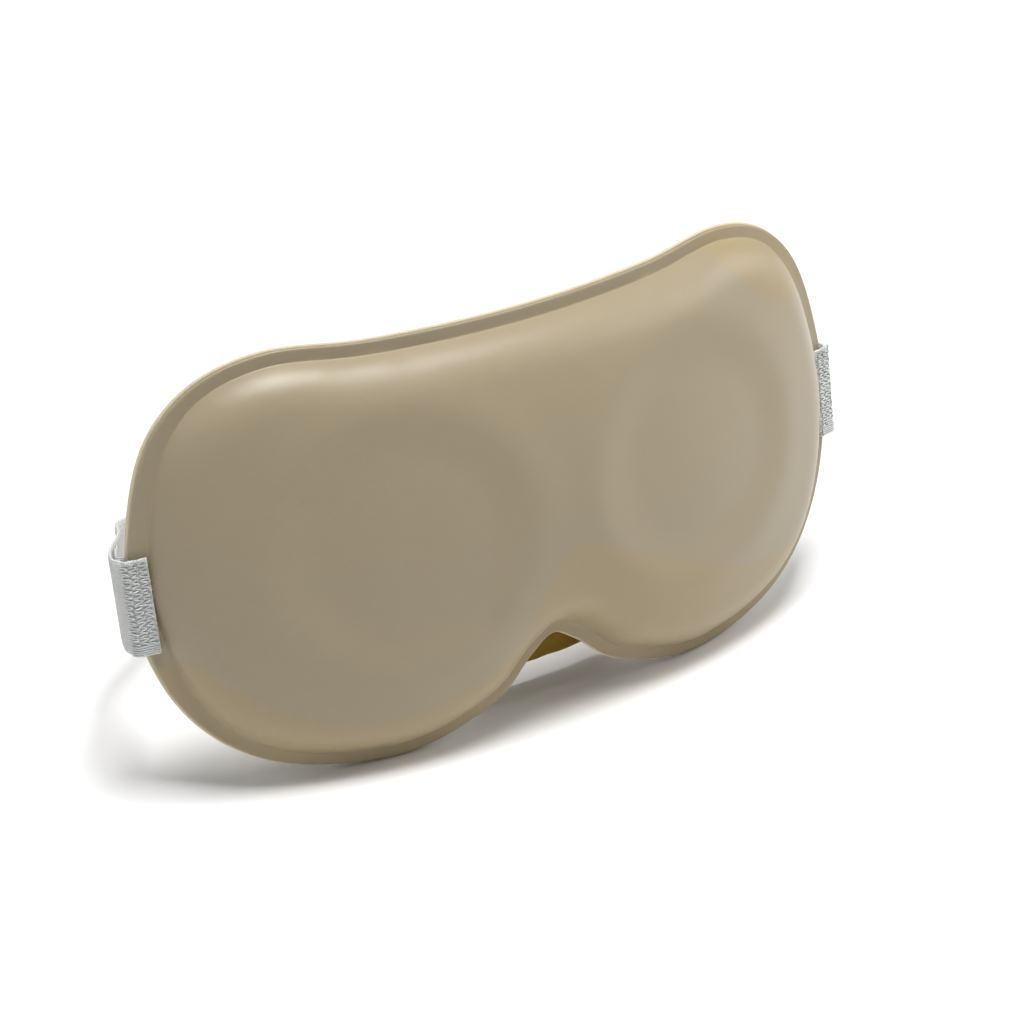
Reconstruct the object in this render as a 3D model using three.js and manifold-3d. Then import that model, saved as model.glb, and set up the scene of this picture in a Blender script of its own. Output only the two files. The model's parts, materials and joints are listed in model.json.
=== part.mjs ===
// Eye massager mask: a moulded soft mask with two vibration motors, heating films, a rechargeable
// battery, a control pod on the skin side and an adjustable elastic head strap.
// Millimetres, +Z up. The mask stands on its two lower lobes and on the strap behind it.
import * as THREE from 'three';
import { mergeVertices } from 'three/addons/utils/BufferGeometryUtils.js';
import Module from 'manifold-3d';

const wasm = await Module();
wasm.setup();

// Driving dimensions: the whole mask
const maskWidth = 212;
const maskHeight = 112;
const wrapDepth = 18.6; // how far the ends curve back from the nose
const leanDegrees = 10.6; // how far the standing mask leans back
const gap = 0.3; // clearance between pieces that lie on each other

// Shells and padding, measured through the mask
const flangeWidth = 4.4;
const rollWidth = 11;
const rollRise = 6; // how far the cover turns forward beside the flange
const coverDepth = 15; // flange to the crown of the cover
const coverWall = 1.2;
const foamWall = 2;
const foamInset = 9;
const frameWall = 1;
const frameInset = 13;
const liningWall = 0.9;
const padRise = 5; // how far the skin side is padded out from the flange
const cushionInset = 6.5;

// Nose flap
const flapWidth = 50;
const flapHeight = 0.195 * maskHeight;
const flapTop = -0.241 * maskHeight;
const flapWall = 1.4;

// Eye cups, which keep their place in the mask when its width or height changes
const eyeSpacing = 0.3774 * maskWidth;
const eyeHeight = 0.0268 * maskHeight;
const eyeHalfWidth = 0.1226 * maskWidth;
const eyeHalfHeight = 0.1786 * maskHeight;
const motorRoom = 5; // from the cups' floors to the cover's crown, less the motors' own depth
const cupDepth = coverDepth - motorRoom;
const cupWall = 0.9;
const filmWall = 0.3;

// Motors
const canRadius = 2;
const canLength = 8;
const shaftRadius = 0.4;
const shaftClearance = 0.1;
const weightLength = 3.5;
const bridgeWidth = 9;
const bridgeWall = 0.7;
const cheekWall = 0.8;
const cheekGap = 0.1;
const capHeight = 1;
const shaftEnd = 3; // how far the shaft reaches up inside the can

// Control pod
const podWidth = 34;
const podHeight = 0.17 * maskHeight;
const podTopMargin = 12.6; // from the brow's edge to the pod
const podWall = 1.2;
const trayRim = 2; // how far the tray's rim reaches past its walls, in front of the frame
const trayRimWall = 0.8;
const podDepth = 9.3; // pod front to the skin-side face of its panel
const panelFace = 6; // height of the panel's skin-side face above the frame
const boardWall = 0.8;
const portWidth = 3.3;
const portHeight = 9;
const portWall = 0.35;
const buttonRadius = 3.5;
const buttonTravel = 0.6;
const screwRadius = 0.7;
const screwHeadRadius = 1.3;
const screwHeadDepth = 0.7;
const bossRadius = 1.9;
const pegRadius = 0.9;
const portX = -7.5;
const buttonX = 5.5;
const lampRise = 0.315 * podHeight; // the lamp above the middle of the pod
const lampRadius = 0.8;
const doorHalfWidth = 3.4;
const doorWall = 1.2;
const doorOverlap = 1.4; // how far the port cover reaches past the port
const barrelRadius = 0.9;
const pinRadius = 0.4;

// Battery and leads
const batteryWidth = 12;
const batteryHeight = 0.25 * maskHeight;
const batteryDepth = 4;
const batteryDrop = 0.05 * maskHeight; // below the pod
const ribWall = 1;
const ribHeight = 3;
const leadRadius = 0.5;

// Strap
const strapWidth = 25;
const strapWall = 1.2;
const strapCentreZ = -1; // height of the sewn ends on the mask
const strapReach = 100; // furthest the strap stands behind the nose
const backStraight = 36; // half of the strap's straight stretch behind the head
const turnReach = 1.6; // from the mask's edge to the strap's middle beside it
const railWall = 2; // top and bottom rails of the slider and the ring
const railGap = 0.5;
const barWall = 1.8; // slider bars and ring bars, through the strap
const ringX = 18;
const ringHalf = 6.2;
const ringBar = 2.4;
const sliderX = -24;
const sliderHalf = 8;
const sliderFace = 1.4;
const loopTail = 5; // how far the sewn loop reaches past the slider's middle bar

const halfWidth = maskWidth / 2;
const halfHeight = maskHeight / 2;
const lean = THREE.MathUtils.degToRad(leanDegrees);
const around = 48; // points round the outline

const colours = {
  cover: [0x9d917b, 0.55, 0],
  foam: [0xd9cdb4, 0.95, 0],
  frame: [0xe6e4dc, 0.5, 0],
  cushion: [0xcabfa5, 0.95, 0],
  lining: [0xc9bd98, 0.9, 0],
  flap: [0x55410a, 0.9, 0],
  strap: [0xb7b9b4, 0.95, 0],
  stitch: [0xd8dad6, 0.9, 0],
  cup: [0xbcae8c, 0.9, 0],
  film: [0xb87333, 0.5, 0.4],
  steel: [0xb9bcc0, 0.3, 1],
  brass: [0xb08d4a, 0.35, 1],
  plastic: [0xefece4, 0.4, 0],
  board: [0x1f6b3a, 0.5, 0],
  black: [0x1c1c1e, 0.5, 0],
  battery: [0x8a9bb0, 0.35, 0.3],
  led: [0xfff4d0, 0.3, 0],
  red: [0xa02020, 0.6, 0],
};

// ---- Solids ----

function materialFor(name) {
  const [color, roughness, metalness] = colours[name];
  return new THREE.MeshStandardMaterial({ color, roughness, metalness });
}

function solid(geometry) {
  const bare = geometry.index ? geometry.toNonIndexed() : geometry.clone();
  bare.deleteAttribute('normal');
  bare.deleteAttribute('uv');
  const merged = mergeVertices(bare, 1e-4);
  const vertProperties = merged.attributes.position.array;
  const triVerts = new Uint32Array(merged.index.array);
  return new wasm.Manifold(new wasm.Mesh({ numProp: 3, vertProperties, triVerts }));
}

function geometryOf(body) {
  const { vertProperties, triVerts } = body.getMesh();
  const geometry = new THREE.BufferGeometry();
  geometry.setAttribute('position', new THREE.BufferAttribute(vertProperties, 3));
  geometry.setIndex(new THREE.BufferAttribute(triVerts, 1));
  geometry.computeVertexNormals();
  return geometry;
}

function join(first, ...others) {
  return geometryOf(others.reduce((body, other) => body.add(solid(other)), solid(first)));
}

function cut(first, ...others) {
  return geometryOf(others.reduce((body, other) => body.subtract(solid(other)), solid(first)));
}

// A span between two values, the lower one first.
function between(a, b) {
  return [Math.min(a, b), Math.max(a, b)];
}

// A span of the given half length round a middle.
function about(middle, half) {
  return [middle - half, middle + half];
}

function box([x0, x1], [y0, y1], [z0, z1]) {
  const geometry = new THREE.BoxGeometry(x1 - x0, y1 - y0, z1 - z0);
  return geometry.translate((x0 + x1) / 2, (y0 + y1) / 2, (z0 + z1) / 2);
}

// A cylinder along Y from y0 to y1, round or stretched to an ellipse.
function post(x, z, radius, y0, y1, { sides = 14, radiusZ = radius } = {}) {
  const geometry = new THREE.CylinderGeometry(1, 1, y1 - y0, sides);
  return geometry.scale(radius, 1, radiusZ).translate(x, (y0 + y1) / 2, z);
}

function named(name, colour, geometry) {
  const mesh = new THREE.Mesh(geometry, materialFor(colour));
  mesh.name = name;
  return mesh;
}

// ---- The face curve and the outline ----

// How far back the face curve lies at a distance x from the nose.
function wrap(x) {
  const u = x / halfWidth;
  return wrapDepth * (1.21 * u ** 2 - 0.21 * u ** 4);
}

function bent(geometry) {
  const position = geometry.attributes.position;
  for (let i = 0; i < position.count; i += 1) {
    position.setY(i, position.getY(i) + wrap(position.getX(i)));
  }
  return geometry;
}

// Half of the outline, from the brow to the nose, as shares of the half width and half height.
const browToNose = [
  [0, 0.939], [0.377, 0.957], [0.642, 0.998], [0.83, 0.875], [0.948, 0.571], [1, 0],
  [0.929, -0.536], [0.745, -0.875], [0.443, -1], [0.189, -0.884], [0.071, -0.709], [0, -0.634],
];

const outlineCurve = new THREE.CatmullRomCurve3(
  [...browToNose, ...browToNose.slice(1, -1).reverse().map(([x, z]) => [-x, z])]
    .reverse()
    .map(([x, z]) => new THREE.Vector3(x * halfWidth, 0, z * halfHeight)),
  true,
  'catmullrom',
  0.5,
);

// The outline moved inwards, seen from the front and turning left.
function insetRing(inset) {
  return Array.from({ length: around }, (_, i) => {
    const share = i / around;
    const point = outlineCurve.getPointAt(share);
    const tangent = outlineCurve.getTangentAt(share);
    return [point.x - tangent.z * inset, point.z + tangent.x * inset];
  });
}

const podCentreZ = browToNose[0][1] * halfHeight - podTopMargin - podHeight / 2;
const crown = [0, halfHeight / 7]; // the middle of the mask, where the rings end
const rollSteps = [0.3, 0.65, 1];
const crownSteps = [0.8, 0.58, 0.36, 0.15];

// Rings from the given inset to the crown. edge is the distance from the outline, and spread is
// 1 beside the roll and 0 at the crown.
function faceRings(inset) {
  const full = flangeWidth + rollWidth;
  const edges = [0, flangeWidth / 2, flangeWidth, ...rollSteps.map((s) => flangeWidth + s * rollWidth)];
  const rings = [inset, ...edges.filter((edge) => edge > inset + 0.5)].map((edge) => {
    return { edge, spread: 1, points: insetRing(edge) };
  });
  const last = insetRing(full);
  for (const spread of [...crownSteps, 0]) {
    const towards = (value, axis) => crown[axis] + (value - crown[axis]) * spread;
    rings.push({ edge: full, spread, points: last.map((point) => point.map(towards)) });
  }
  return rings;
}

// 0 on the flange, rising to 1 across the roll.
function roll(edge) {
  const share = THREE.MathUtils.clamp((edge - flangeWidth) / rollWidth, 0, 1);
  return Math.sin((share * Math.PI) / 2);
}

function coverFront({ edge, spread }) {
  return -rollRise * roll(edge) - (coverDepth - rollRise) * (1 - spread ** 2);
}

function liningBack({ edge }) {
  return coverWall + gap + liningWall + padRise * roll(edge);
}

// A closed sheet between two depths that are set ring by ring, bent to the face curve.
function sheet(inset, front, back) {
  const rings = faceRings(inset);
  const middle = rings.pop();
  const vertices = [];
  for (const depth of [front, back]) {
    for (const ring of rings) {
      for (const [x, z] of ring.points) vertices.push(x, wrap(x) + depth(ring), z);
    }
    vertices.push(crown[0], depth(middle), crown[1]);
  }
  const side = rings.length * around + 1;
  const faces = [];
  const quad = (a, b, c, d) => faces.push(a, b, c, a, c, d);
  for (let i = 0; i < around; i += 1) {
    const next = (i + 1) % around;
    for (let k = 0; k < rings.length - 1; k += 1) {
      const [a, b] = [k * around + i, k * around + next];
      quad(a, b, b + around, a + around);
      quad(side + b, side + a, side + a + around, side + b + around);
    }
    const [a, b] = [side - 1 - around + i, side - 1 - around + next];
    faces.push(a, b, side - 1, side + b, side + a, 2 * side - 1);
    quad(i, side + i, side + next, next);
  }
  const geometry = new THREE.BufferGeometry();
  geometry.setAttribute('position', new THREE.Float32BufferAttribute(vertices, 3));
  geometry.setIndex(faces);
  return geometry;
}

// ---- Layers of the mask ----

const sides = [['left', -1], ['right', 1]];
const eyeX = eyeSpacing / 2;
const farFront = -40;
const farBack = 60;

// A cutter through every layer, an ellipse wider than the eye cup by the given margin.
function eyeCutter(sign, margin) {
  const radiusZ = eyeHalfHeight + margin;
  return post(sign * eyeX, eyeHeight, eyeHalfWidth + margin, farFront, farBack, { sides: 24, radiusZ });
}

function podCutter(margin, [y0, y1]) {
  const half = podWidth / 2 + margin;
  const reach = podHeight / 2 + margin;
  return box([-half, half], [y0, y1], [podCentreZ - reach, podCentreZ + reach]);
}

const podFront = panelFace - podDepth;
const foamFront = (ring) => coverFront(ring) + coverWall + gap;
const foamBack = (ring) => Math.min(foamFront(ring) + foamWall, -frameWall - gap);
const cushionBack = (ring) => liningBack(ring) - liningWall - gap;

function outerCover() {
  return named('outer_cover', 'cover', sheet(0, coverFront, (ring) => coverFront(ring) + coverWall));
}

function foamLayer() {
  const pocket = podCutter(gap, [podFront - gap, farBack]);
  const rimPocket = podCutter(trayRim + gap, [-frameWall - 2 * gap - trayRimWall, farBack]);
  const motors = sides.map(([, sign]) => {
    const y = wrap(eyeX) + motorDepth;
    const reach = canRadius + cheekGap + cheekWall + gap;
    return box([sign * eyeX - reach, sign * eyeX + reach], [y - canRadius - gap, farBack], motorSpan);
  });
  const pad = sheet(foamInset, foamFront, foamBack);
  return named('foam_layer', 'foam', cut(pad, pocket, rimPocket, ...motors));
}

// The plate between foam and cushion, with ribs that hold the battery.
function innerFrame() {
  const plate = sheet(frameInset, () => -frameWall, () => 0);
  const openings = sides.map(([, sign]) => eyeCutter(sign, -1));
  const windowed = cut(plate, ...openings, podCutter(gap, [farFront, farBack]));
  const inner = batteryWidth / 2 + gap;
  const ribs = [-1, 1].map((sign) => {
    const depth = [-frameWall - ribHeight, -frameWall / 2];
    return box(between(sign * inner, sign * (inner + ribWall)), depth, [batteryBottom, batteryTop]);
  });
  return named('inner_frame', 'frame', join(windowed, ...ribs));
}

function faceCushion() {
  const openings = sides.map(([, sign]) => eyeCutter(sign, 2 * gap));
  const block = sheet(cushionInset, () => gap, cushionBack);
  return named('face_cushion', 'cushion', cut(block, ...openings, podCutter(gap, [farFront, farBack])));
}

function skinLining() {
  const skin = sheet(0, (ring) => liningBack(ring) - liningWall, liningBack);
  const openings = sides.map(([, sign]) => eyeCutter(sign, gap));
  return named('skin_lining', 'lining', cut(skin, ...openings, podCutter(gap, [farFront, farBack])));
}

const skinFace = coverWall + gap + liningWall + padRise;

// A shallow bowl whose rim is level with the padded lining.
function eyeCup(side, sign) {
  const floorFront = skinFace - cupDepth - cupWall;
  const profile = [
    [0, floorFront], [0.5, floorFront], [0.7, floorFront + 1.5], [0.86, floorFront + 4.6],
    [0.95, skinFace - 1.6], [1, skinFace - cupWall], [1, skinFace], [0.93, skinFace - 0.7],
    [0.82, floorFront + cupWall + 4], [0.66, floorFront + cupWall + 1.2], [0.48, floorFront + cupWall],
    [0, floorFront + cupWall],
  ].map(([r, y]) => new THREE.Vector2(r, y));
  const bowl = new THREE.LatheGeometry(profile, 24).scale(eyeHalfWidth, 1, eyeHalfHeight);
  return named(`eye_cup_${side}`, 'cup', bent(bowl.translate(sign * eyeX, 0, eyeHeight)));
}

function heatingFilm(side, sign) {
  const back = skinFace - cupDepth - cupWall - gap;
  const profile = [[0, back - filmWall], [0.46, back - filmWall], [0.46, back], [0, back]];
  const disc = new THREE.LatheGeometry(profile.map(([r, y]) => new THREE.Vector2(r, y)), 24);
  disc.scale(eyeHalfWidth, 1, eyeHalfHeight).translate(sign * eyeX, 0, eyeHeight);
  return named(`heating_film_${side}`, 'film', bent(disc));
}

// A soft flap that hangs behind the nose notch and keeps light out.
function noseFlap() {
  const [half, top, bottom, corner] = [flapWidth / 2, flapTop, flapTop - flapHeight, 6];
  const shape = new THREE.Shape();
  shape.moveTo(-half, top);
  shape.lineTo(-half, bottom + corner);
  shape.absarc(-half + corner, bottom + corner, corner, Math.PI, Math.PI * 1.5);
  shape.absarc(half - corner, bottom + corner, corner, Math.PI * 1.5, Math.PI * 2);
  shape.lineTo(half, top);
  const flap = new THREE.ExtrudeGeometry(shape, { depth: flapWall, bevelEnabled: false, curveSegments: 5 });
  flap.rotateX(Math.PI / 2).translate(0, skinFace + wrap(half) + gap + flapWall, 0);
  return named('nose_flap', 'flap', flap);
}

// ---- Motors ----

const filmFront = skinFace - cupDepth - cupWall - gap - filmWall;
const bridgeFront = filmFront - bridgeWall - 4 * gap;
const motorDepth = bridgeFront - gap - canRadius - 0.4; // the axis, from the face curve
const motorBottom = eyeHeight - 4;
const motorSpan = [motorBottom - weightLength - 2, motorBottom + canLength + 2];

// A strip across the eye opening, with its feet on the frame and two cheeks that hold the can.
function motorBridge(side, sign) {
  const reach = eyeHalfHeight + 5;
  const foot = -frameWall - gap;
  const arch = new THREE.Shape();
  const under = [[-reach, foot], [-reach + 4, foot], [-reach + 8, bridgeFront + bridgeWall]];
  const top = foot - bridgeWall;
  const over = [[-reach + 7.4, bridgeFront], [-reach + 3.6, top], [-reach, top]];
  const mirrored = (points) => points.slice().reverse().map(([z, y]) => [-z, y]);
  const ring = [...under, ...mirrored(under), ...mirrored(over), ...over];
  ring.forEach(([z, y], i) => (i ? arch.lineTo(z, y) : arch.moveTo(z, y)));
  const strip = new THREE.ExtrudeGeometry(arch, { depth: bridgeWidth, bevelEnabled: false });
  strip.rotateY(Math.PI / 2).translate(sign * eyeX - bridgeWidth / 2, 0, eyeHeight);
  const inner = canRadius + cheekGap;
  const cheeks = [-1, 1].map((edge) => {
    const span = between(sign * eyeX + edge * inner, sign * eyeX + edge * (inner + cheekWall));
    const depth = [motorDepth - 0.6, bridgeFront + bridgeWall / 2];
    return box(span, depth, [motorBottom + capHeight, motorBottom + canLength - capHeight]);
  });
  return named(`motor_bridge_${side}`, 'plastic', bent(join(strip, ...cheeks)));
}

function motor(side, sign) {
  const group = new THREE.Group();
  group.position.set(sign * eyeX, wrap(eyeX) + motorDepth, motorBottom);
  group.rotation.x = Math.PI / 2; // the lathe axis turned to stand along the mask
  const bore = shaftRadius + shaftClearance;
  const ring = (points) => points.map(([r, y]) => new THREE.Vector2(r, y));
  const canTop = canLength - capHeight;
  const can = ring([
    [bore, 0], [canRadius, 0], [canRadius, canTop], [canRadius - 0.4, canTop], [canRadius - 0.4, 0.6],
    [bore, 0.6], [bore, 0],
  ]);
  const cap = ring([[0, canTop + gap], [canRadius, canTop + gap], [canRadius, canLength], [0, canLength]]);
  const shaft = new THREE.CylinderGeometry(shaftRadius, shaftRadius, shaftEnd + weightLength + gap, 12);
  shaft.translate(0, (shaftEnd - weightLength - gap) / 2, 0);
  const weight = new THREE.CylinderGeometry(canRadius - 0.1, canRadius - 0.1, weightLength, 16);
  weight.translate(0, -gap - weightLength / 2, 0);
  const half = box([-canRadius, canRadius], [-farBack, farBack], [0.5, canRadius]);
  const eccentric = geometryOf(solid(weight).subtract(solid(half)).add(solid(shaft)));
  group.add(named(`motor_can_${side}`, 'steel', new THREE.LatheGeometry(can, 16)));
  group.add(named(`motor_end_cap_${side}`, 'plastic', new THREE.LatheGeometry(cap, 16)));
  group.add(named(`motor_weight_${side}`, 'brass', eccentric));
  return group;
}

// ---- Control pod ----

const podHalf = podWidth / 2;
const podLow = podCentreZ - podHeight / 2;
const podHigh = podCentreZ + podHeight / 2;
const panelWall = 1.2;
const panelBack = panelFace - panelWall;
const boardFront = podFront + podWall + 0.7;
const boardBack = boardFront + boardWall;
const partsFace = boardBack + gap;
const screwX = podHalf - 2.4;
const lampZ = podCentreZ + lampRise;
const boardHalf = podHalf - podWall - 3.2;

function podTray() {
  const walls = podCutter(0, [podFront, panelBack - gap]);
  const room = podCutter(-podWall, [podFront + podWall, farBack]);
  const rim = podCutter(trayRim, [-frameWall - gap - trayRimWall, -frameWall - gap]);
  const root = podFront + podWall / 2;
  const bosses = [-1, 1].map((sign) => post(sign * screwX, podCentreZ, bossRadius, root, panelBack - gap));
  const pegs = [-1, 1].flatMap((sign) => [podLow + 3, podHigh - 3].map((z) => {
    return post(sign * (boardHalf - 2), z, pegRadius, root, boardFront - gap, { sides: 8 });
  }));
  const holes = [-1, 1].map((sign) => {
    return post(sign * screwX, podCentreZ, screwRadius + 0.1, podFront + 3, farBack);
  });
  const shell = join(cut(join(walls, rim), room), ...bosses, ...pegs);
  return named('pod_tray', 'plastic', cut(shell, ...holes));
}

function podPanel() {
  const plate = podCutter(0, [panelBack, panelFace]);
  const through = [farFront, farBack];
  const port = box(about(portX, portWidth / 2 + 0.2), through, about(podCentreZ, portHeight / 2 + 0.2));
  const button = post(buttonX, podCentreZ, buttonRadius + gap, ...through, { sides: 20 });
  const lamp = post(0, lampZ, lampRadius + gap, ...through);
  const screws = [-1, 1].flatMap((sign) => [
    post(sign * screwX, podCentreZ, screwRadius + 0.2, ...through),
    post(sign * screwX, podCentreZ, screwHeadRadius + gap, panelFace - screwHeadDepth, farBack),
  ]);
  const lugs = [-1, 1].map((edge) => {
    const span = between(portX + edge * lugFrom, portX + edge * lugTo);
    return box(span, [panelBack + 0.5, hingeY + barrelRadius], about(hingeZ, barrelRadius));
  });
  const pin = cylinderX(pinRadius + 0.1, about(portX, lugTo + 1), hingeY, hingeZ);
  return named('pod_panel', 'plastic', cut(join(plate, ...lugs), port, button, lamp, ...screws, pin));
}

// A cylinder along X.
function cylinderX(radius, [x0, x1], y, z) {
  const geometry = new THREE.CylinderGeometry(radius, radius, x1 - x0, 12).rotateZ(Math.PI / 2);
  return geometry.translate((x0 + x1) / 2, y, z);
}

const hingeY = panelFace + gap + barrelRadius;
const hingeZ = podCentreZ - portHeight / 2 - 1.9;
const lugFrom = doorHalfWidth + 0.4;
const lugTo = lugFrom + 1;

function portCover() {
  const width = about(portX, doorHalfWidth);
  const top = podCentreZ + portHeight / 2 + doorOverlap;
  const flap = box(width, [panelFace + gap, panelFace + gap + doorWall], [hingeZ, top]);
  const barrel = cylinderX(barrelRadius, width, hingeY, hingeZ);
  const bore = cylinderX(pinRadius + 0.1, about(portX, lugTo + 1), hingeY, hingeZ);
  return named('port_cover', 'plastic', cut(join(flap, barrel), bore));
}

function portCoverPin() {
  return named('port_cover_pin', 'steel', cylinderX(pinRadius, about(portX, lugTo), hingeY, hingeZ));
}

function powerButton() {
  const stop = panelBack - gap; // the collar's face, which stops behind the panel
  const collarWall = 0.6;
  const cap = post(buttonX, podCentreZ, buttonRadius, stop - collarWall, skinFace - 0.4, { sides: 20 });
  const collar = post(buttonX, podCentreZ, buttonRadius + 0.8, stop - collarWall, stop, { sides: 20 });
  const stem = post(buttonX, podCentreZ, 1.2, switchBack + buttonTravel + 0.1, stop - collarWall / 2);
  return named('power_button', 'plastic', join(cap, collar, stem));
}

const switchBack = partsFace + 1.5;

function board() {
  const span = [podLow + podWall + gap, podHigh - podWall - gap];
  const plate = box([-boardHalf, boardHalf], [boardFront, boardBack], span);
  return named('circuit_board', 'board', plate);
}

function chargingPort() {
  const [halfWide, halfHigh] = [portWidth / 2, portHeight / 2];
  const outer = box(about(portX, halfWide), [partsFace, panelFace - 0.2], about(podCentreZ, halfHigh));
  const mouth = box(
    about(portX, halfWide - portWall),
    [partsFace + 1, farBack],
    about(podCentreZ, halfHigh - portWall),
  );
  const reach = [partsFace + 0.5, panelFace - 1];
  const tongue = box(about(portX, 0.35), reach, about(podCentreZ, halfHigh - 1.2));
  return named('charging_port', 'steel', join(cut(outer, mouth), tongue));
}

function boardParts() {
  const switchBody = box(about(buttonX, 2.25), [partsFace, switchBack], about(podCentreZ, 2.25));
  const chip = box(about(0, 2.5), [partsFace, partsFace + 0.9], about(podCentreZ - 0.27 * podHeight, 1.75));
  const led = box(about(0, 0.8), [partsFace, partsFace + 0.5], about(lampZ, 0.5));
  return [
    named('tact_switch', 'black', switchBody),
    named('control_chip', 'black', chip),
    named('status_led', 'led', led),
    named('light_pipe', 'led', post(0, lampZ, lampRadius, partsFace + 0.8, panelFace)),
  ];
}

function podScrews() {
  return sides.map(([side, sign]) => {
    const x = sign * screwX;
    const seat = panelFace - screwHeadDepth + 0.1;
    const shank = post(x, podCentreZ, screwRadius, podFront + 4, seat + 0.2, { sides: 12 });
    const head = post(x, podCentreZ, screwHeadRadius, seat, panelFace);
    const slot = box(about(x, 1), [panelFace - 0.3, farBack], about(podCentreZ, 0.2));
    return named(`pod_screw_${side}`, 'steel', cut(join(shank, head), slot));
  });
}

// ---- Battery and leads ----

const batteryTop = podLow - batteryDrop;
const batteryBottom = batteryTop - batteryHeight;
const batteryBack = -frameWall - gap;

function battery() {
  const depth = [batteryBack - batteryDepth, batteryBack];
  return named('battery', 'battery', box(about(0, batteryWidth / 2), depth, [batteryBottom, batteryTop]));
}

function lead(name, colour, points) {
  const path = new THREE.CatmullRomCurve3(points.map(([x, y, z]) => new THREE.Vector3(x, y + wrap(x), z)));
  const section = new THREE.Shape().absarc(0, 0, leadRadius, 0, Math.PI * 2);
  const geometry = new THREE.ExtrudeGeometry(section, { extrudePath: path, steps: 9, curveSegments: 4 });
  return named(name, colour, geometry);
}

// Points are [x, depth behind the face curve, z]. Each lead runs between the foam and the frame.
function leads() {
  const side = podHalf + trayRim + 0.5 + gap;
  const batteryTab = batteryBack - 1.2;
  const result = [lead('battery_lead', 'red', [
    [2, batteryTab, batteryTop + gap],
    [2.6, batteryTab, batteryTop + 2],
    [2, -frameWall - gap - leadRadius, podLow - trayRim - 2 * gap],
  ])];
  for (const [name, sign] of sides) {
    result.push(lead(`motor_lead_${name}`, 'red', [
      [sign * side, -3, podLow + 4],
      [sign * (side + 5), -4.6, podLow + 2.5],
      [sign * (eyeX - 6), motorDepth + 0.7, motorBottom + canLength + 5],
      [sign * eyeX, motorDepth, motorBottom + canLength + 2 * gap],
    ]));
    result.push(lead(`heater_lead_${name}`, 'black', [
      [sign * side, -3, podLow],
      [sign * (side + 3), -4.4, podLow - 4],
      [sign * (eyeX - 11), filmFront - gap - 0.8, eyeHeight + 8],
      [sign * (eyeX - 9), filmFront - gap - leadRadius, eyeHeight + 4],
    ]));
  }
  return result;
}

// ---- The mask, leaning back on the floor ----

function maskGroup() {
  const group = new THREE.Group();
  group.add(outerCover(), foamLayer(), innerFrame(), faceCushion(), skinLining(), noseFlap());
  for (const [side, sign] of sides) {
    group.add(eyeCup(side, sign), heatingFilm(side, sign), motorBridge(side, sign), motor(side, sign));
  }
  group.add(podTray(), podPanel(), portCover(), portCoverPin(), powerButton(), board(), chargingPort());
  group.add(...boardParts(), ...podScrews(), battery(), ...leads());
  group.rotation.x = -lean;
  const floor = new THREE.Box3().setFromObject(group, true).min.z;
  group.position.z = -floor;
  return group;
}

const mask = maskGroup();
mask.updateMatrixWorld(true);

// ---- Strap ----

const upright = new THREE.Vector3(0, 0, 1);
const maskUp = new THREE.Vector3(0, Math.sin(lean), Math.cos(lean));

// A flat band along a curve, standing on edge. leaning says how far its width leans with the mask.
function band(curve, from, to, steps, leaning = () => 0) {
  const [width, wall] = [strapWidth, strapWall];
  const vertices = [];
  for (let i = 0; i <= steps; i += 1) {
    const share = from + ((to - from) * i) / steps;
    const up = upright.clone().lerp(maskUp, leaning(share)).normalize();
    const point = curve.getPointAt(share);
    const tangent = curve.getTangentAt(share);
    const across = up.clone().addScaledVector(tangent, -up.dot(tangent)).normalize();
    const out = new THREE.Vector3().crossVectors(tangent, across);
    for (const [a, b] of [[-1, -1], [1, -1], [1, 1], [-1, 1]]) {
      const corner = point.clone().addScaledVector(out, (a * wall) / 2);
      vertices.push(...corner.addScaledVector(across, (b * width) / 2).toArray());
    }
  }
  const faces = [];
  const quad = (a, b, c, d) => faces.push(a, b, c, a, c, d);
  // Both wide faces are split along the same diagonal, so the band keeps its wall where it twists.
  for (let i = 0; i < steps; i += 1) {
    for (let c = 0; c < 3; c += 1) {
      const [a, b] = [i * 4 + c, i * 4 + c + 1];
      quad(a, a + 4, b + 4, b);
    }
    const [a, b] = [i * 4 + 3, i * 4];
    quad(b, a, a + 4, b + 4);
  }
  quad(0, 1, 2, 3);
  const end = steps * 4;
  quad(end + 3, end + 2, end + 1, end);
  const geometry = new THREE.BufferGeometry();
  geometry.setAttribute('position', new THREE.Float32BufferAttribute(vertices, 3));
  geometry.setIndex(faces);
  return geometry;
}

// A point of the leaning mask in the standing frame.
function standing(x, y, z) {
  return mask.localToWorld(new THREE.Vector3(x, y, z));
}

const tabDepth = -gap - strapWall / 2; // the sewn end's middle, in front of the flange
const tabEnd = halfWidth - flangeWidth + 0.2;
const strapLow = strapWidth / 2 + railGap + railWall; // the strap's middle behind the head
const layerStep = strapWall + gap;
const tailStep = 2 * layerStep + barWall + 0.1; // from the main strap to the tail that lies behind it

// Where the strap's middle line runs between the mask and the straight stretch behind the head: how
// far in from the mask's end, as a share of the half width, then shares of the way back and down.
const sideStations = [[0.14, 0.27, 0.22], [0.32, 0.56, 0.54], [0.49, 0.84, 0.86]];

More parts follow.
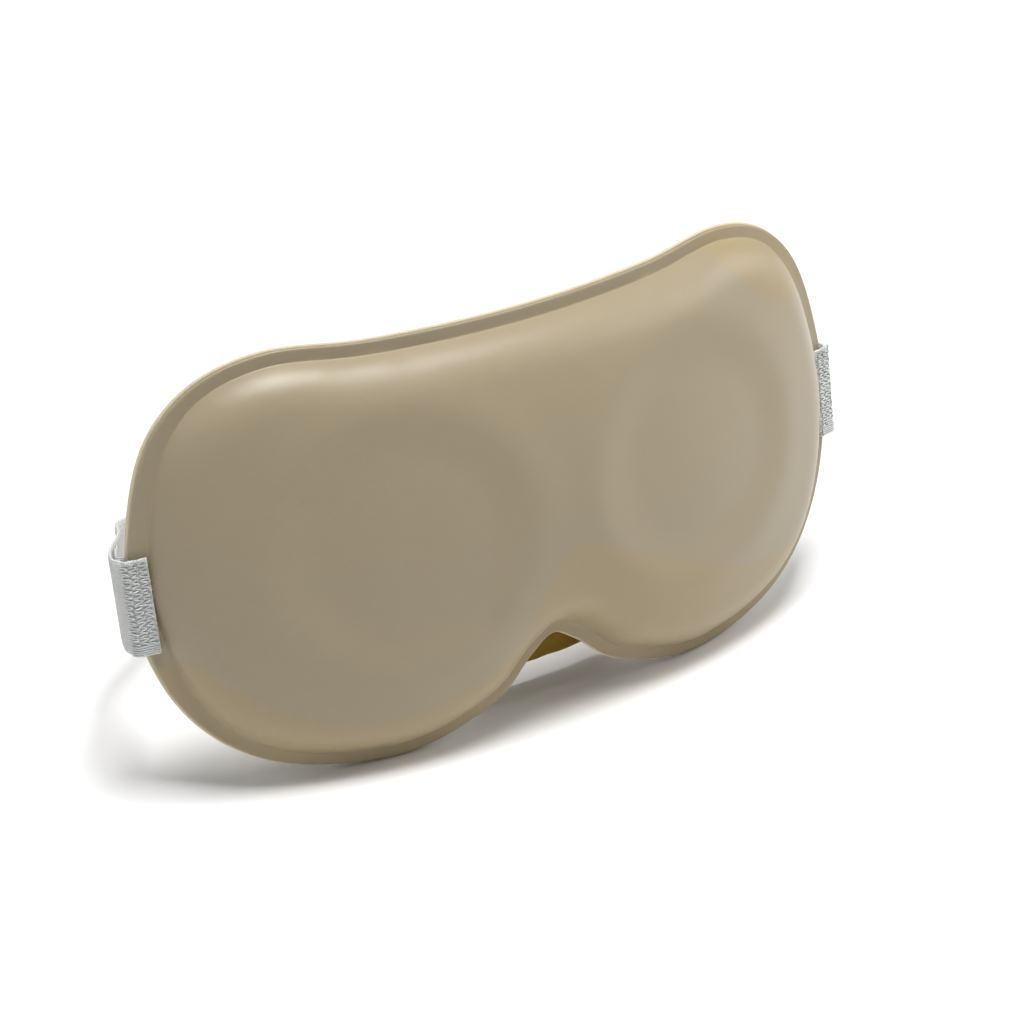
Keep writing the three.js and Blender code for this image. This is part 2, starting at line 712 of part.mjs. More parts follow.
// The strap's middle line on one side, from its sewn end round the mask's edge to the back.
function sideCurve(sign) {
  const edge = wrap(halfWidth);
  const behind = standing(sign * (halfWidth - 7.5), edge + 22, strapCentreZ - 1);
  const turn = halfWidth + turnReach;
  const stations = sideStations.map(([inwards, back, down]) => {
    const y = THREE.MathUtils.lerp(behind.y, strapReach, back);
    const z = THREE.MathUtils.lerp(behind.z, strapLow, down);
    return new THREE.Vector3(sign * halfWidth * (1 - inwards), y, z);
  });
  const corner = [halfWidth - 1.4, halfWidth + 0.5];
  return new THREE.CatmullRomCurve3([
    standing(sign * tabEnd, wrap(tabEnd) + tabDepth, strapCentreZ),
    standing(sign * corner[0], wrap(corner[0]) + tabDepth, strapCentreZ),
    standing(sign * corner[1], edge + tabDepth, strapCentreZ),
    standing(sign * (turn - 0.3), edge + 0.6, strapCentreZ),
    standing(sign * turn, edge + 3.4, strapCentreZ),
    standing(sign * (turn - 1.4), edge + 9, strapCentreZ),
    behind,
    ...stations,
    new THREE.Vector3(sign * (backStraight + 4), strapReach - 0.4, strapLow),
    new THREE.Vector3(sign * backStraight, strapReach, strapLow),
  ], false, 'centripetal');
}

const foldFrom = 0.12; // shares of the side curve: the fold bends when the strap swings
const foldTo = 0.3;
const splice = 0.0025;
const leaning = (share) => 1 - THREE.MathUtils.smoothstep(share, foldFrom, 0.8);

// The strap's middle line behind the head: along the front layer from x0, round a bar whose inner
// edge is at xBar, and back along the tail layer to x1. sign is +1 where the turn points to +X.
function foldedCurve(x0, xBar, x1, sign, front = 0) {
  const back = tailStep;
  const points = [
    [x0, front], [(x0 + xBar) / 2, front], [xBar - sign * 0.4, front], [xBar + sign * 0.6, front + 0.5],
    [xBar + sign * 0.95, front + 1.4], [xBar + sign * 0.95, back - 1.4], [xBar + sign * 0.6, back - 0.5],
    [xBar - sign * 0.4, back], [(x1 + xBar) / 2, back], [x1, back],
  ];
  const path = points.map(([x, y]) => new THREE.Vector3(x, strapReach + y, strapLow));
  return new THREE.CatmullRomCurve3(path, false, 'centripetal');
}

function railPair([x0, x1], [y0, y1]) {
  return [-1, 1].map((side) => {
    const inner = strapLow + side * (strapWidth / 2 + railGap);
    return box([x0, x1], [strapReach + y0, strapReach + y1], between(inner, inner + side * railWall));
  });
}

function crossBar([x0, x1], [y0, y1]) {
  const half = strapWidth / 2 + railGap + railWall / 2;
  return box([x0, x1], [strapReach + y0, strapReach + y1], about(strapLow, half));
}

function ring() {
  const [front, back] = [layerStep - 0.4, tailStep - layerStep + 0.4];
  const rails = railPair(about(ringX, ringHalf), [front, back]);
  const bars = [-1, 1].map((side) => {
    return crossBar(between(ringX + side * ringHalf, ringX + side * (ringHalf - ringBar)), [front, back]);
  });
  return named('strap_ring', 'plastic', join(rails[0], rails[1], ...bars));
}

// The adjuster: the main strap runs straight through it and the tail is sewn round its middle bar.
function slider() {
  const front = -strapWall / 2 - gap - sliderFace;
  const middle = [2 * layerStep - strapWall / 2 + 0.1, tailStep - layerStep + strapWall / 2 - 0.1];
  const rails = railPair(about(sliderX, sliderHalf), [front, middle[1]]);
  const ends = [-1, 1].map((side) => {
    const span = between(sliderX + side * sliderHalf, sliderX + side * (sliderHalf - 2));
    return crossBar(span, [front, front + sliderFace]);
  });
  const bar = crossBar(about(sliderX, 1), middle);
  return named('strap_slider', 'plastic', join(rails[0], rails[1], ...ends, bar));
}

// Dense stitching over the strap's sewn end, standing a little off the webbing.
function barTack(side, sign) {
  const reach = between(sign * (tabEnd + 0.6), sign * (halfWidth - 0.4));
  const depth = -gap - strapWall - 2 * gap;
  const block = box(reach, [depth - 0.5, depth], about(strapCentreZ, strapWidth / 2 - 0.6));
  return named(`bar_tack_${side}`, 'stitch', bent(block));
}

function strapGroup() {
  const group = new THREE.Group();
  const turnEnd = ringX - ringHalf - 1.5;
  for (const [side, sign] of sides) {
    const curve = sideCurve(sign);
    group.add(named(`strap_end_${side}`, 'strap', band(curve, 0, foldFrom, 16, leaning)));
    group.add(named(`strap_fold_${side}`, 'strap', band(curve, foldFrom + splice, foldTo, 8, leaning)));
    group.add(named(`strap_side_${side}`, 'strap', band(curve, foldTo + splice, 1, 14, leaning)));
  }
  const main = foldedCurve(-backStraight + gap, ringX - ringHalf + ringBar, turnEnd, 1);
  group.add(named('strap_main', 'strap', band(main, 0, 1, 26)));
  const short = foldedCurve(backStraight - gap, ringX + ringHalf - ringBar, ringX + ringHalf + 6, -1);
  group.add(named('strap_short', 'strap', band(short, 0, 1, 22)));
  const loop = foldedCurve(sliderX + loopTail, sliderX - 1, sliderX + loopTail, -1, layerStep);
  group.add(named('strap_tail_loop', 'strap', band(loop, 0, 1, 20)));
  const tail = box(
    [sliderX + loopTail + gap, turnEnd - gap],
    about(strapReach + tailStep, strapWall / 2),
    about(strapLow, strapWidth / 2),
  );
  group.add(named('strap_tail', 'strap', tail), ring(), slider());
  return group;
}

for (const [side, sign] of sides) mask.add(barTack(side, sign));

const object = new THREE.Group();
object.add(mask, strapGroup());
const extent = new THREE.Box3().setFromObject(object, true);
const middle = extent.getCenter(new THREE.Vector3());
object.position.set(-middle.x, -middle.y, -extent.min.z);
export default object;
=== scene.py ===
import json
import math

import bmesh
import bpy
import numpy as np
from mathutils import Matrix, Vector


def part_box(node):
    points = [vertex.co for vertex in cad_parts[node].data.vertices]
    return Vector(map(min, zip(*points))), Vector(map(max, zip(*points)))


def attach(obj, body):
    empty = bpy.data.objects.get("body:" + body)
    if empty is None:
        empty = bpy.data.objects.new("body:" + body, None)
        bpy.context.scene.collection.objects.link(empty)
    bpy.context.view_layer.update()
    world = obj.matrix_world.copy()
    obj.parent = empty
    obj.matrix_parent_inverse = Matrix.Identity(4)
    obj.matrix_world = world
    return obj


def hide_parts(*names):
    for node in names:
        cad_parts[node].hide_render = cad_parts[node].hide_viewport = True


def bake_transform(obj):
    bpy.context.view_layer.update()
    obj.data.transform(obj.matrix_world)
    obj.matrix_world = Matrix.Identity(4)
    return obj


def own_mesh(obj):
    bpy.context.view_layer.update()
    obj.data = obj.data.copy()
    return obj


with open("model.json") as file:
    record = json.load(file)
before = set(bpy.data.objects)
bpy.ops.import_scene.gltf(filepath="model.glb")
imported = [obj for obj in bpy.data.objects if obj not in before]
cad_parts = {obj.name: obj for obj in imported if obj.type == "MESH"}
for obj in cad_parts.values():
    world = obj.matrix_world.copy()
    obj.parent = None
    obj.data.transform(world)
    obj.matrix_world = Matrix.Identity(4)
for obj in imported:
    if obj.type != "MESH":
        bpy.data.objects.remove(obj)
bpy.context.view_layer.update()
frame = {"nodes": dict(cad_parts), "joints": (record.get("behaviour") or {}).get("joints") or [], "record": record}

MM = 0.001

# ---- The mask's own frame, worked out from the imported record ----
# Sizes below are in millimetres in the mask's frame: X across, Y back from the face curve, Z up.
JOINTS = {joint["name"]: joint for joint in frame["joints"]}
SPIN = JOINTS["left_motor_spin"]
LEAN = math.atan2(SPIN["axis"][1], SPIN["axis"][2])
COVER_LOW, COVER_HIGH = (np.array(corner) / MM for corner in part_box("outer_cover"))
HALF_WIDTH = (COVER_HIGH[0] - COVER_LOW[0]) / 2 + 0.05
HALF_HEIGHT = 56.0
WRAP_DEPTH = 18.6
FLANGE = 4.4
ROLL = 11.0
COVER_WALL = 1.2
LINING_WALL = 0.9
GAP = 0.3
PAD_RISE = 5.0
SKIN_FACE = COVER_WALL + GAP + LINING_WALL + PAD_RISE
COVER_DEPTH = 15.0
EYE_X, EYE_Z = 40.0, 3.0
EYE_HALF_WIDTH, EYE_HALF_HEIGHT = 26.0, 20.0
CUP_DEPTH = 10.0
MOTOR_DEPTH = -8.7
POD_CENTRE_Z, POD_WIDTH, POD_HEIGHT = 30.464, 34.0, 19.04
STRAP_WIDTH, STRAP_WALL = 25.0, 1.2
STRAP_Z = -1.0


def wrap(x):
    """How far back the face curve lies at a distance x from the nose."""
    u = np.asarray(x, float) / HALF_WIDTH
    return WRAP_DEPTH * (1.21 * u**2 - 0.21 * u**4)


COS, SIN = math.cos(LEAN), math.sin(LEAN)
TILT = np.array([[1, 0, 0], [0, COS, SIN], [0, -SIN, COS]])
SPIN_LOCAL = np.array([-EYE_X, wrap(EYE_X) + MOTOR_DEPTH, EYE_Z])
ORIGIN = np.array(SPIN["pos_m"]) / MM - TILT @ SPIN_LOCAL


def standing(points):
    """Points of the mask's frame, in millimetres of the row frame."""
    return np.asarray(points, float) @ TILT.T + ORIGIN


# ---- Curves ----
def catmull_rom(points, count, closed=False, power=0.0):
    """Points along a Catmull-Rom spline: uniform with power 0, centripetal with power 0.5."""
    points = np.asarray(points, float)
    if closed:
        ends = np.vstack([points[-1:], points, points[:2]])
    else:
        ends = np.vstack([2 * points[0] - points[1], points, 2 * points[-1] - points[-2]])
    spans = []
    for p0, p1, p2, p3 in zip(ends, ends[1:], ends[2:], ends[3:]):
        steps = [max(np.linalg.norm(b - a) ** power, 1e-6) for a, b in ((p0, p1), (p1, p2), (p2, p3))]
        m1 = (p1 - p0) / steps[0] - (p2 - p0) / (steps[0] + steps[1]) + (p2 - p1) / steps[1]
        m2 = (p2 - p1) / steps[1] - (p3 - p1) / (steps[1] + steps[2]) + (p3 - p2) / steps[2]
        m1, m2 = m1 * steps[1], m2 * steps[1]
        t = np.linspace(0, 1, 40, endpoint=False)[:, None]
        spans.append(p1 * (1 + 2 * t) * (1 - t) ** 2 + m1 * t * (1 - t) ** 2
                     + p2 * t * t * (3 - 2 * t) + m2 * t * t * (t - 1))
    line = np.vstack([*spans, points[:1] if closed else points[-1:]])
    return evenly(line, count, closed)


def evenly(line, count, closed=False):
    """count points spaced evenly along a line of points."""
    lengths = np.r_[0, np.cumsum(np.linalg.norm(np.diff(line, axis=0), axis=1))]
    at = np.linspace(0, lengths[-1], count + 1)[:-1] if closed else np.linspace(0, lengths[-1], count)
    return np.column_stack([np.interp(at, lengths, column) for column in line.T])


# Half of the outline from the brow to the nose, as shares of the half width and half height.
BROW_TO_NOSE = [
    (0, 0.939), (0.377, 0.957), (0.642, 0.998), (0.83, 0.875), (0.948, 0.571), (1, 0),
    (0.929, -0.536), (0.745, -0.875), (0.443, -1), (0.189, -0.884), (0.071, -0.709), (0, -0.634),
]
AROUND = 384
CROWN = np.array([0.0, 8.0])


def outline_points(count):
    """The outline, turning left as seen from the front."""
    loop = BROW_TO_NOSE + [(-x, z) for x, z in BROW_TO_NOSE[-2:0:-1]]
    points = np.array(loop[::-1]) * [HALF_WIDTH, HALF_HEIGHT]
    return catmull_rom(points, count, closed=True)


OUTLINE = outline_points(AROUND)
TANGENT = np.roll(OUTLINE, -1, axis=0) - np.roll(OUTLINE, 1, axis=0)
TANGENT /= np.linalg.norm(TANGENT, axis=1)[:, None]
INWARD = np.column_stack([-TANGENT[:, 1], TANGENT[:, 0]])


def smoothstep(value, low, high):
    t = np.clip((np.asarray(value, float) - low) / (high - low), 0, 1)
    return t * t * (3 - 2 * t)


def edge_distance(points):
    """How far points lie inside the outline."""
    fine = outline_points(AROUND * 3)
    near = [np.min(np.hypot(*(fine - p).T)) for p in points]
    return np.array(near)


# ---- The swelling of the cover: a membrane held at the flange and pushed forward ----
class Swelling:
    """The height of a membrane stretched over the outline, from 0 at the flange to 1 at its crown."""

    STEP = 1.5

    def __init__(self):
        self.x0, self.z0 = -HALF_WIDTH - 6, -HALF_HEIGHT - 6
        nx = int(2 * (HALF_WIDTH + 6) / self.STEP) + 1
        nz = int(2 * (HALF_HEIGHT + 6) / self.STEP) + 1
        xs, zs = self.x0 + np.arange(nx) * self.STEP, self.z0 + np.arange(nz) * self.STEP
        gx, gz = np.meshgrid(xs, zs, indexing="ij")
        ring = OUTLINE + INWARD * FLANGE
        free = inside(np.column_stack([gx.ravel(), gz.ravel()]), ring).reshape(gx.shape)
        height = np.zeros(gx.shape)
        checker = (np.indices(gx.shape).sum(0) % 2).astype(bool)
        for _ in range(500):
            for colour in (checker, ~checker):
                around = np.zeros_like(height)
                around[1:-1, 1:-1] = (height[2:, 1:-1] + height[:-2, 1:-1] + height[1:-1, 2:]
                                      + height[1:-1, :-2] + self.STEP**2) / 4
                change = free & colour
                height[change] += 1.9 * (around - height)[change]
        self.height = height / height.max()

    def at(self, points):
        """Smooth heights at points, from the grid by cubic interpolation."""
        u = (np.asarray(points) - [self.x0, self.z0]) / self.STEP
        base = np.floor(u).astype(int)
        t = u - base
        total = np.zeros(len(u))
        weights = [cubic_weights(t[:, k]) for k in (0, 1)]
        nx, nz = self.height.shape
        for i in range(4):
            for k in range(4):
                row = np.clip(base[:, 0] + i - 1, 0, nx - 1)
                column = np.clip(base[:, 1] + k - 1, 0, nz - 1)
                total += weights[0][i] * weights[1][k] * self.height[row, column]
        return np.clip(total, 0, 1)


def cubic_weights(t):
    """Weights of the four grid lines round a point, for a cubic B-spline."""
    return ((1 - t) ** 3 / 6, (3 * t**3 - 6 * t**2 + 4) / 6,
            (-3 * t**3 + 3 * t**2 + 3 * t + 1) / 6, t**3 / 6)


def inside(points, ring):
    """Which points lie inside a closed ring."""
    x, z = points[:, 0], points[:, 1]
    odd = np.zeros(len(points), bool)
    for (x0, z0), (x1, z1) in zip(ring, np.roll(ring, -1, axis=0)):
        crosses = (z0 > z) != (z1 > z)
        if z1 != z0:
            odd ^= crosses & (x < (x1 - x0) * (z - z0) / (z1 - z0) + x0)
    return odd


SWELLING = Swelling()

# ---- Meshes ----
def make_object(name, vertices, faces, material, body=None, smooth=True):
    """A mesh piece from points in millimetres of the row frame."""
    mesh = bpy.data.meshes.new(name)
    mesh.from_pydata((np.asarray(vertices) * MM).tolist(), [], [list(map(int, f)) for f in faces])
    mesh.validate()
    mesh.materials.append(material)
    if smooth:
        mesh.polygons.foreach_set("use_smooth", np.ones(len(mesh.polygons), bool))
    made = bpy.data.objects.new(name, mesh)
    bpy.context.scene.collection.objects.link(made)
    if body:
        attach(made, body)
    return made


# Insets of the rings beside the rim, close together where the section turns.
RIM_INSETS = [0, 0.08, 0.2, 0.4, 0.8, 1.5, 2.4, 3.1, 3.4, 3.5, 3.65, 3.85, 4.1, 4.4, 4.5, 4.65, 4.9,
              5.2, 5.6, 6.1, 6.8, 7.6, 8.5, 9.5, 10.6, 11.8, 13.1, 14.5, 16]


class Face:
    """The plan of a layer: points across the mask, the faces between them and their distance to the rim."""

    def __init__(self, inset=0.0, crown_steps=36):
        insets = [inset] + [e for e in RIM_INSETS if e > inset + 0.05]
        rings = [OUTLINE + INWARD * e for e in insets]
        last = rings[-1]
        for share in 1 - (np.arange(1, crown_steps) / crown_steps):
            rings.append(CROWN + (last - CROWN) * share)
        self.plan = np.vstack([*rings, CROWN[None]])
        edges = [np.full(AROUND, e) for e in insets]
        inner = edge_distance(np.vstack([*rings[len(insets):], CROWN[None]]))
        self.edge = np.concatenate([*edges, inner])
        self.inset = inset
        self.faces = []
        turn = [(i, (i + 1) % AROUND) for i in range(AROUND)]
        for k in range(len(rings) - 1):
            self.faces += [(k * AROUND + a, k * AROUND + b, (k + 1) * AROUND + b, (k + 1) * AROUND + a)
                           for a, b in turn]
        end = (len(rings) - 1) * AROUND
        self.faces += [(end + a, end + b, len(self.plan) - 1) for a, b in turn]

    def open_up(self, shape):
        """Cuts an opening: shape gives a signed distance to its edge, negative inside, and its slope."""
        distance = shape(self.plan)
        centres = np.array([self.plan[list(f)].mean(0) for f in self.faces])
        kept = shape(centres) > 0
        self.faces = [f for f, keep in zip(self.faces, kept) if keep]
        used = np.unique(np.concatenate([list(f) for f in self.faces]))
        edge = boundary_vertices(self.faces)
        near = np.array([v for v in edge if abs(distance[v]) < 4], int)
        for _ in range(4):
            d = shape(self.plan[near])
            step = 0.05
            slope = np.column_stack([
                shape(self.plan[near] + [step, 0]) - d, shape(self.plan[near] + [0, step]) - d]) / step
            slope /= np.maximum(np.linalg.norm(slope, axis=1), 1e-6)[:, None]
            self.plan[near] -= slope * d[:, None]
        return used


def boundary_vertices(faces):
    return sorted({v for edge in boundary_edges(faces) for v in edge})


def boundary_edges(faces):
    """The directed edges that only one face uses."""
    seen = {}
    for f in faces:
        for a, b in zip(f, f[1:] + f[:1]):
            if (b, a) in seen:
                del seen[(b, a)]
            else:
                seen[(a, b)] = True
    return list(seen)


def two_sided(name, face, front, back, material, body):
    """A closed layer between two depths, given for each point of the plan."""
    lift = wrap(face.plan[:, 0])
    layers = [np.column_stack([face.plan[:, 0], lift + depth, face.plan[:, 1]]) for depth in (front, back)]
    count = len(face.plan)
    faces = list(face.faces) + [tuple(v + count for v in f[::-1]) for f in face.faces]
    faces += [(b, a, a + count, b + count) for a, b in boundary_edges(face.faces)]
    used, flat = np.unique(np.concatenate([list(f) for f in faces]), return_inverse=True)
    points = np.vstack(layers)[used]
    sizes = np.cumsum([len(f) for f in faces])[:-1]
    faces = [part.tolist() for part in np.split(flat, sizes)]
    return make_object(name, standing(points), faces, material, body)


def rounding(distance, radius):
    """How far a face falls away beside an edge, as a quarter circle does."""
    d = np.clip(distance, 0, radius)
    return radius - np.sqrt(np.maximum(radius**2 - (radius - d) ** 2, 0))


def tube(name, path, radius, material, body=None, sides=8, closed=False):
    """A round tube along points in millimetres of the row frame."""
    vertices, faces = tube_mesh(path, radius, sides, closed)
    return make_object(name, vertices, faces, material, body)


def tube_mesh(path, radius, sides=8, closed=False, start=0):
    path = np.asarray(path, float)
    if closed:
        tangent = np.roll(path, -1, axis=0) - np.roll(path, 1, axis=0)
    else:
        tangent = np.gradient(path, axis=0)
    tangent /= np.maximum(np.linalg.norm(tangent, axis=1), 1e-9)[:, None]
    normal = np.cross(tangent[0], [0.3, 0.2, 0.93])
    vertices = []
    for t in range(len(path)):
        normal = normal - tangent[t] * (normal @ tangent[t])
        normal /= np.linalg.norm(normal)
        side = np.cross(tangent[t], normal)
        for k in range(sides):
            angle = 2 * math.pi * k / sides
            vertices.append(path[t] + radius * (math.cos(angle) * normal + math.sin(angle) * side))
    faces = []
    rows = len(path) if closed else len(path) - 1
    for t in range(rows):
        a, b = start + t * sides, start + ((t + 1) % len(path)) * sides
        faces += [(a + k, a + (k + 1) % sides, b + (k + 1) % sides, b + k) for k in range(sides)]
    if not closed:
        faces.append(tuple(start + k for k in reversed(range(sides))))
        faces.append(tuple(start + (len(path) - 1) * sides + k for k in range(sides)))
    return vertices, faces


# ---- Materials ----
class Shade:
    """A procedural material, with helpers for its nodes."""

    def __init__(self, name, colour, roughness, metallic=0.0, sheen=0.0, coat=0.0, sheen_tint=None, ior=1.45):
        self.material = bpy.data.materials.new(name)
        self.material.use_nodes = True
        self.tree = self.material.node_tree
        self.shader = self.tree.nodes["Principled BSDF"]
        self.bump_height = None
        self.set("Base Color", (*colour, 1))
        self.set("Roughness", roughness)
        self.set("Metallic", metallic)
        self.set("Sheen Weight", sheen)
        self.set("Coat Weight", coat)
        self.set("IOR", ior)
        if sheen_tint:
            self.set("Sheen Tint", (*sheen_tint, 1))
            self.set("Sheen Roughness", 0.45)

    def set(self, name, value):
        self.shader.inputs[name].default_value = value

    def node(self, kind, inputs=None, **settings):
        made = self.tree.nodes.new(kind)
        for key, value in settings.items():
            setattr(made, key, value)
        for key, value in (inputs or {}).items():
            if isinstance(value, bpy.types.NodeSocket):
                self.tree.links.new(value, made.inputs[key])
            else:
                made.inputs[key].default_value = value
        return made

    def math(self, operation, *values, clamp=False):
        made = self.node("ShaderNodeMath", dict(enumerate(values)), operation=operation, use_clamp=clamp)
        return made.outputs[0]

    def attribute(self, name, output="Fac"):
        return self.node("ShaderNodeAttribute", attribute_name=name).outputs[output]

    def place(self):
        return self.node("ShaderNodeTexCoord").outputs["Object"]

    def noise(self, scale, detail=3.0, roughness=0.55, vector=None):
        """Noise whose features are 1/scale metres across."""
        inputs = {"Vector": vector or self.place(), "Scale": scale, "Detail": detail, "Roughness": roughness}
        return self.node("ShaderNodeTexNoise", inputs).outputs[0]

    def mix(self, share, first, second):
        made = self.node("ShaderNodeMix", data_type="RGBA")
        for key, value in ((0, share), (6, first), (7, second)):
            if isinstance(value, bpy.types.NodeSocket):
                self.tree.links.new(value, made.inputs[key])
            else:
                made.inputs[key].default_value = value if key == 0 else (*value, 1)
        return made.outputs[2]

    def link(self, output, name):
        self.tree.links.new(output, self.shader.inputs[name])

    def bump(self, height, distance, strength=1.0):
        """Bump of a height from 0 to 1, distance in metres; later calls lie on top of earlier ones."""
        inputs = {"Height": height, "Distance": distance, "Strength": strength}
        if self.bump_height:
            inputs["Normal"] = self.bump_height
        self.bump_height = self.node("ShaderNodeBump", inputs).outputs[0]
        self.link(self.bump_height, "Normal")


def knit(shade, pitch, depth, vector=None):
    """A fine knitted face: small loops at the given pitch, in metres."""
    split = shade.node("ShaderNodeSeparateXYZ", {"Vector": vector or shade.place()})
    turn = 2 * math.pi / pitch
    across = shade.math("SINE", shade.math("MULTIPLY", split.outputs["X"], turn))
    along = shade.math("SINE", shade.math("MULTIPLY", split.outputs["Z"], turn * 0.8))
    shade.bump(shade.math("MULTIPLY", across, along), depth, 0.6)


def cover_shade():
    """Smooth moulded skin; the panel attribute tells the zone of a painted softbox reflection, greyer in tone,
    from the rest.
    """
    shade = Shade("cover_skin", (0.318, 0.262, 0.171), 0.38, sheen=0.12, sheen_tint=(1, 0.95, 0.86))
    # inner is 1 inside the panel zone, where the colour turns greyer: a painted reflection of a softbox, not the
    # cover's own tone.
    inner = shade.math("MULTIPLY_ADD", shade.attribute("panel"), 1.4, 0.5, clamp=True)
    mottle = shade.noise(38, 2)
    base = shade.mix(inner, (0.335, 0.264, 0.150), (0.318, 0.262, 0.171))
    worn = shade.math("MULTIPLY_ADD", mottle, 0.12, -0.02, clamp=True)
    grain = shade.mix(worn, base, (0.235, 0.182, 0.113))
    shade.link(grain, "Base Color")
    shade.link(shade.math("MULTIPLY_ADD", inner, -0.04, 0.39), "Roughness")
    knit(shade, 0.00042, 0.00002)
    shade.bump(shade.noise(2600, 2), 0.00002, 0.5)
    return shade.material


def cloth_shade(name, colour, dark, pitch=0.0006, depth=0.00006, sheen=0.35, fuzz=1500):
    shade = Shade(name, colour, 0.88, sheen=sheen, sheen_tint=(1, 0.97, 0.92))
    worn = shade.math("MULTIPLY_ADD", shade.noise(240, 4), 0.9, -0.15, clamp=True)
    shade.link(shade.mix(worn, dark, colour), "Base Color")
    knit(shade, pitch, depth)
    shade.bump(shade.noise(fuzz, 5, 0.7), 0.00008, 0.6)
    return shade.material


def flap_shade():
    """Thin rubbery cloth, olive on one side and browner towards the other."""
    shade = Shade("nose_flap_fabric", (0.26, 0.18, 0.01), 0.8)
    across = shade.node("ShaderNodeSeparateXYZ", {"Vector": shade.place()}).outputs["X"]
    share = shade.math("MULTIPLY_ADD", across, 28.0, 0.5, clamp=True)
    tone = shade.mix(share, (0.30, 0.25, 0.010), (0.27, 0.13, 0.004))
    worn = shade.math("MULTIPLY_ADD", shade.noise(240, 4), 0.7, -0.15, clamp=True)
    shade.link(shade.mix(worn, tone, (0.17, 0.10, 0.004)), "Base Color")
    knit(shade, 0.0006, 0.00004)
    return shade.material


def foam_shade(name, colour, dark):
    shade = Shade(name, colour, 0.95)
    cells = shade.node("ShaderNodeTexVoronoi", {"Vector": shade.place(), "Scale": 1400.0}, feature="F1")
    # The foam is darker towards each cell's middle, where the bump lies low: painted shade in the pores.
    wall = shade.math("MULTIPLY", cells.outputs["Distance"], 1.1, clamp=True)
    shade.link(shade.mix(wall, dark, colour), "Base Color")
    shade.bump(cells.outputs["Distance"], 0.0003, 0.8)
    return shade.material


def webbing_shade():
    """Woven elastic: cords along the strap, crossed by fine picks.

    The weave attribute holds millimetres along and across the strap.
    """
    shade = Shade("strap_webbing", (0.64, 0.65, 0.63), 0.85, sheen=0.3, sheen_tint=(1, 1, 1))
    split = shade.node("ShaderNodeSeparateXYZ", {"Vector": shade.attribute("weave", "Vector")})
    along, across = split.outputs["X"], split.outputs["Y"]
    cord = shade.math("SINE", shade.math("MULTIPLY", across, 2 * math.pi / 1.25))
    shift = shade.math("MULTIPLY", shade.math("SIGN", cord), 0.25)
    pick = shade.math("SINE", shade.math("MULTIPLY", shade.math("ADD", along, shift), 2 * math.pi / 0.8))
    height = shade.math("MULTIPLY_ADD", pick, 0.35, shade.math("ABSOLUTE", cord))
    flecks = shade.noise(3.5, 4, 0.7, shade.attribute("weave", "Vector"))
    # The colour follows the weave's height, darker where cords and picks lie low: painted shade in the grooves,
    # with random flecks on top.
    tint = shade.math("MULTIPLY_ADD", height, 0.35, shade.math("MULTIPLY", flecks, 0.7), clamp=True)
    shade.link(shade.mix(tint, (0.50, 0.51, 0.50), (0.73, 0.74, 0.72)), "Base Color")
    shade.bump(height, 0.00016, 0.8)
    shade.bump(flecks, 0.00006, 0.6)
    return shade.material


def thread_shade():
    shade = Shade("stitching", (0.62, 0.64, 0.63), 0.8, sheen=0.4, sheen_tint=(1, 1, 1))
    twist = shade.noise(5200, 2)
    shade.link(shade.mix(twist, (0.48, 0.50, 0.49), (0.74, 0.76, 0.75)), "Base Color")
    shade.bump(twist, 0.0001, 0.8)
    return shade.material


def moulded_shade(name, colour, roughness=0.42, edge=0.0003):
    """Moulded plastic with a fine satin grain and softened edges."""
    shade = Shade(name, colour, roughness)
    soft = shade.node("ShaderNodeBevel", {"Radius": edge}, samples=4)
    shade.bump_height = soft.outputs[0]
    shade.bump(shade.noise(3200, 2), 0.00001, 0.35)
    shade.link(shade.math("MULTIPLY_ADD", shade.noise(140, 3), 0.1, roughness - 0.05), "Roughness")
    return shade.material


def metal_shade(name, colour, roughness, stretch):
    """Brushed metal: streaks along the longest stretch of the noise."""
    shade = Shade(name, colour, roughness, metallic=1.0)
    scaled = shade.node("ShaderNodeVectorMath", {0: shade.place(), 1: stretch}, operation="MULTIPLY")
    streaks = shade.noise(1, 4, 0.7, scaled.outputs[0])
    shade.link(shade.math("MULTIPLY_ADD", streaks, 0.25, roughness - 0.1), "Roughness")
    shade.bump(streaks, 0.00001, 0.4)
    return shade.material


def film_shade():
    """A heating film: copper tracks on amber film."""
    shade = Shade("heating_film", (0.72, 0.45, 0.2), 0.4)
    rings = shade.node("ShaderNodeTexWave", {"Vector": shade.place(), "Scale": 260.0}, bands_direction="Z")
    track = shade.math("GREATER_THAN", rings.outputs["Fac"], 0.5)
    shade.link(shade.mix(track, (0.42, 0.2, 0.04), (0.8, 0.42, 0.24)), "Base Color")
    shade.link(shade.math("MULTIPLY", track, 0.8), "Metallic")
    return shade.material


def board_shade():
    shade = Shade("circuit_board", (0.03, 0.2, 0.08), 0.35, coat=0.4)
    tracks = shade.node("ShaderNodeTexBrick", {"Vector": shade.place(), "Scale": 600.0})
    share = shade.math("MULTIPLY", tracks.outputs["Fac"], 0.5)
    shade.link(shade.mix(share, (0.02, 0.14, 0.06), (0.06, 0.3, 0.12)), "Base Color")
    return shade.material


def clear_shade():
    shade = Shade("light_pipe", (1.0, 0.97, 0.9), 0.15, ior=1.5)
    shade.set("Transmission Weight", 0.75)
    return shade.material


def wire_shade(name, colour):
    shade = Shade(name, colour, 0.4)
    shade.bump(shade.noise(900, 2), 0.00002, 0.3)
    return shade.material


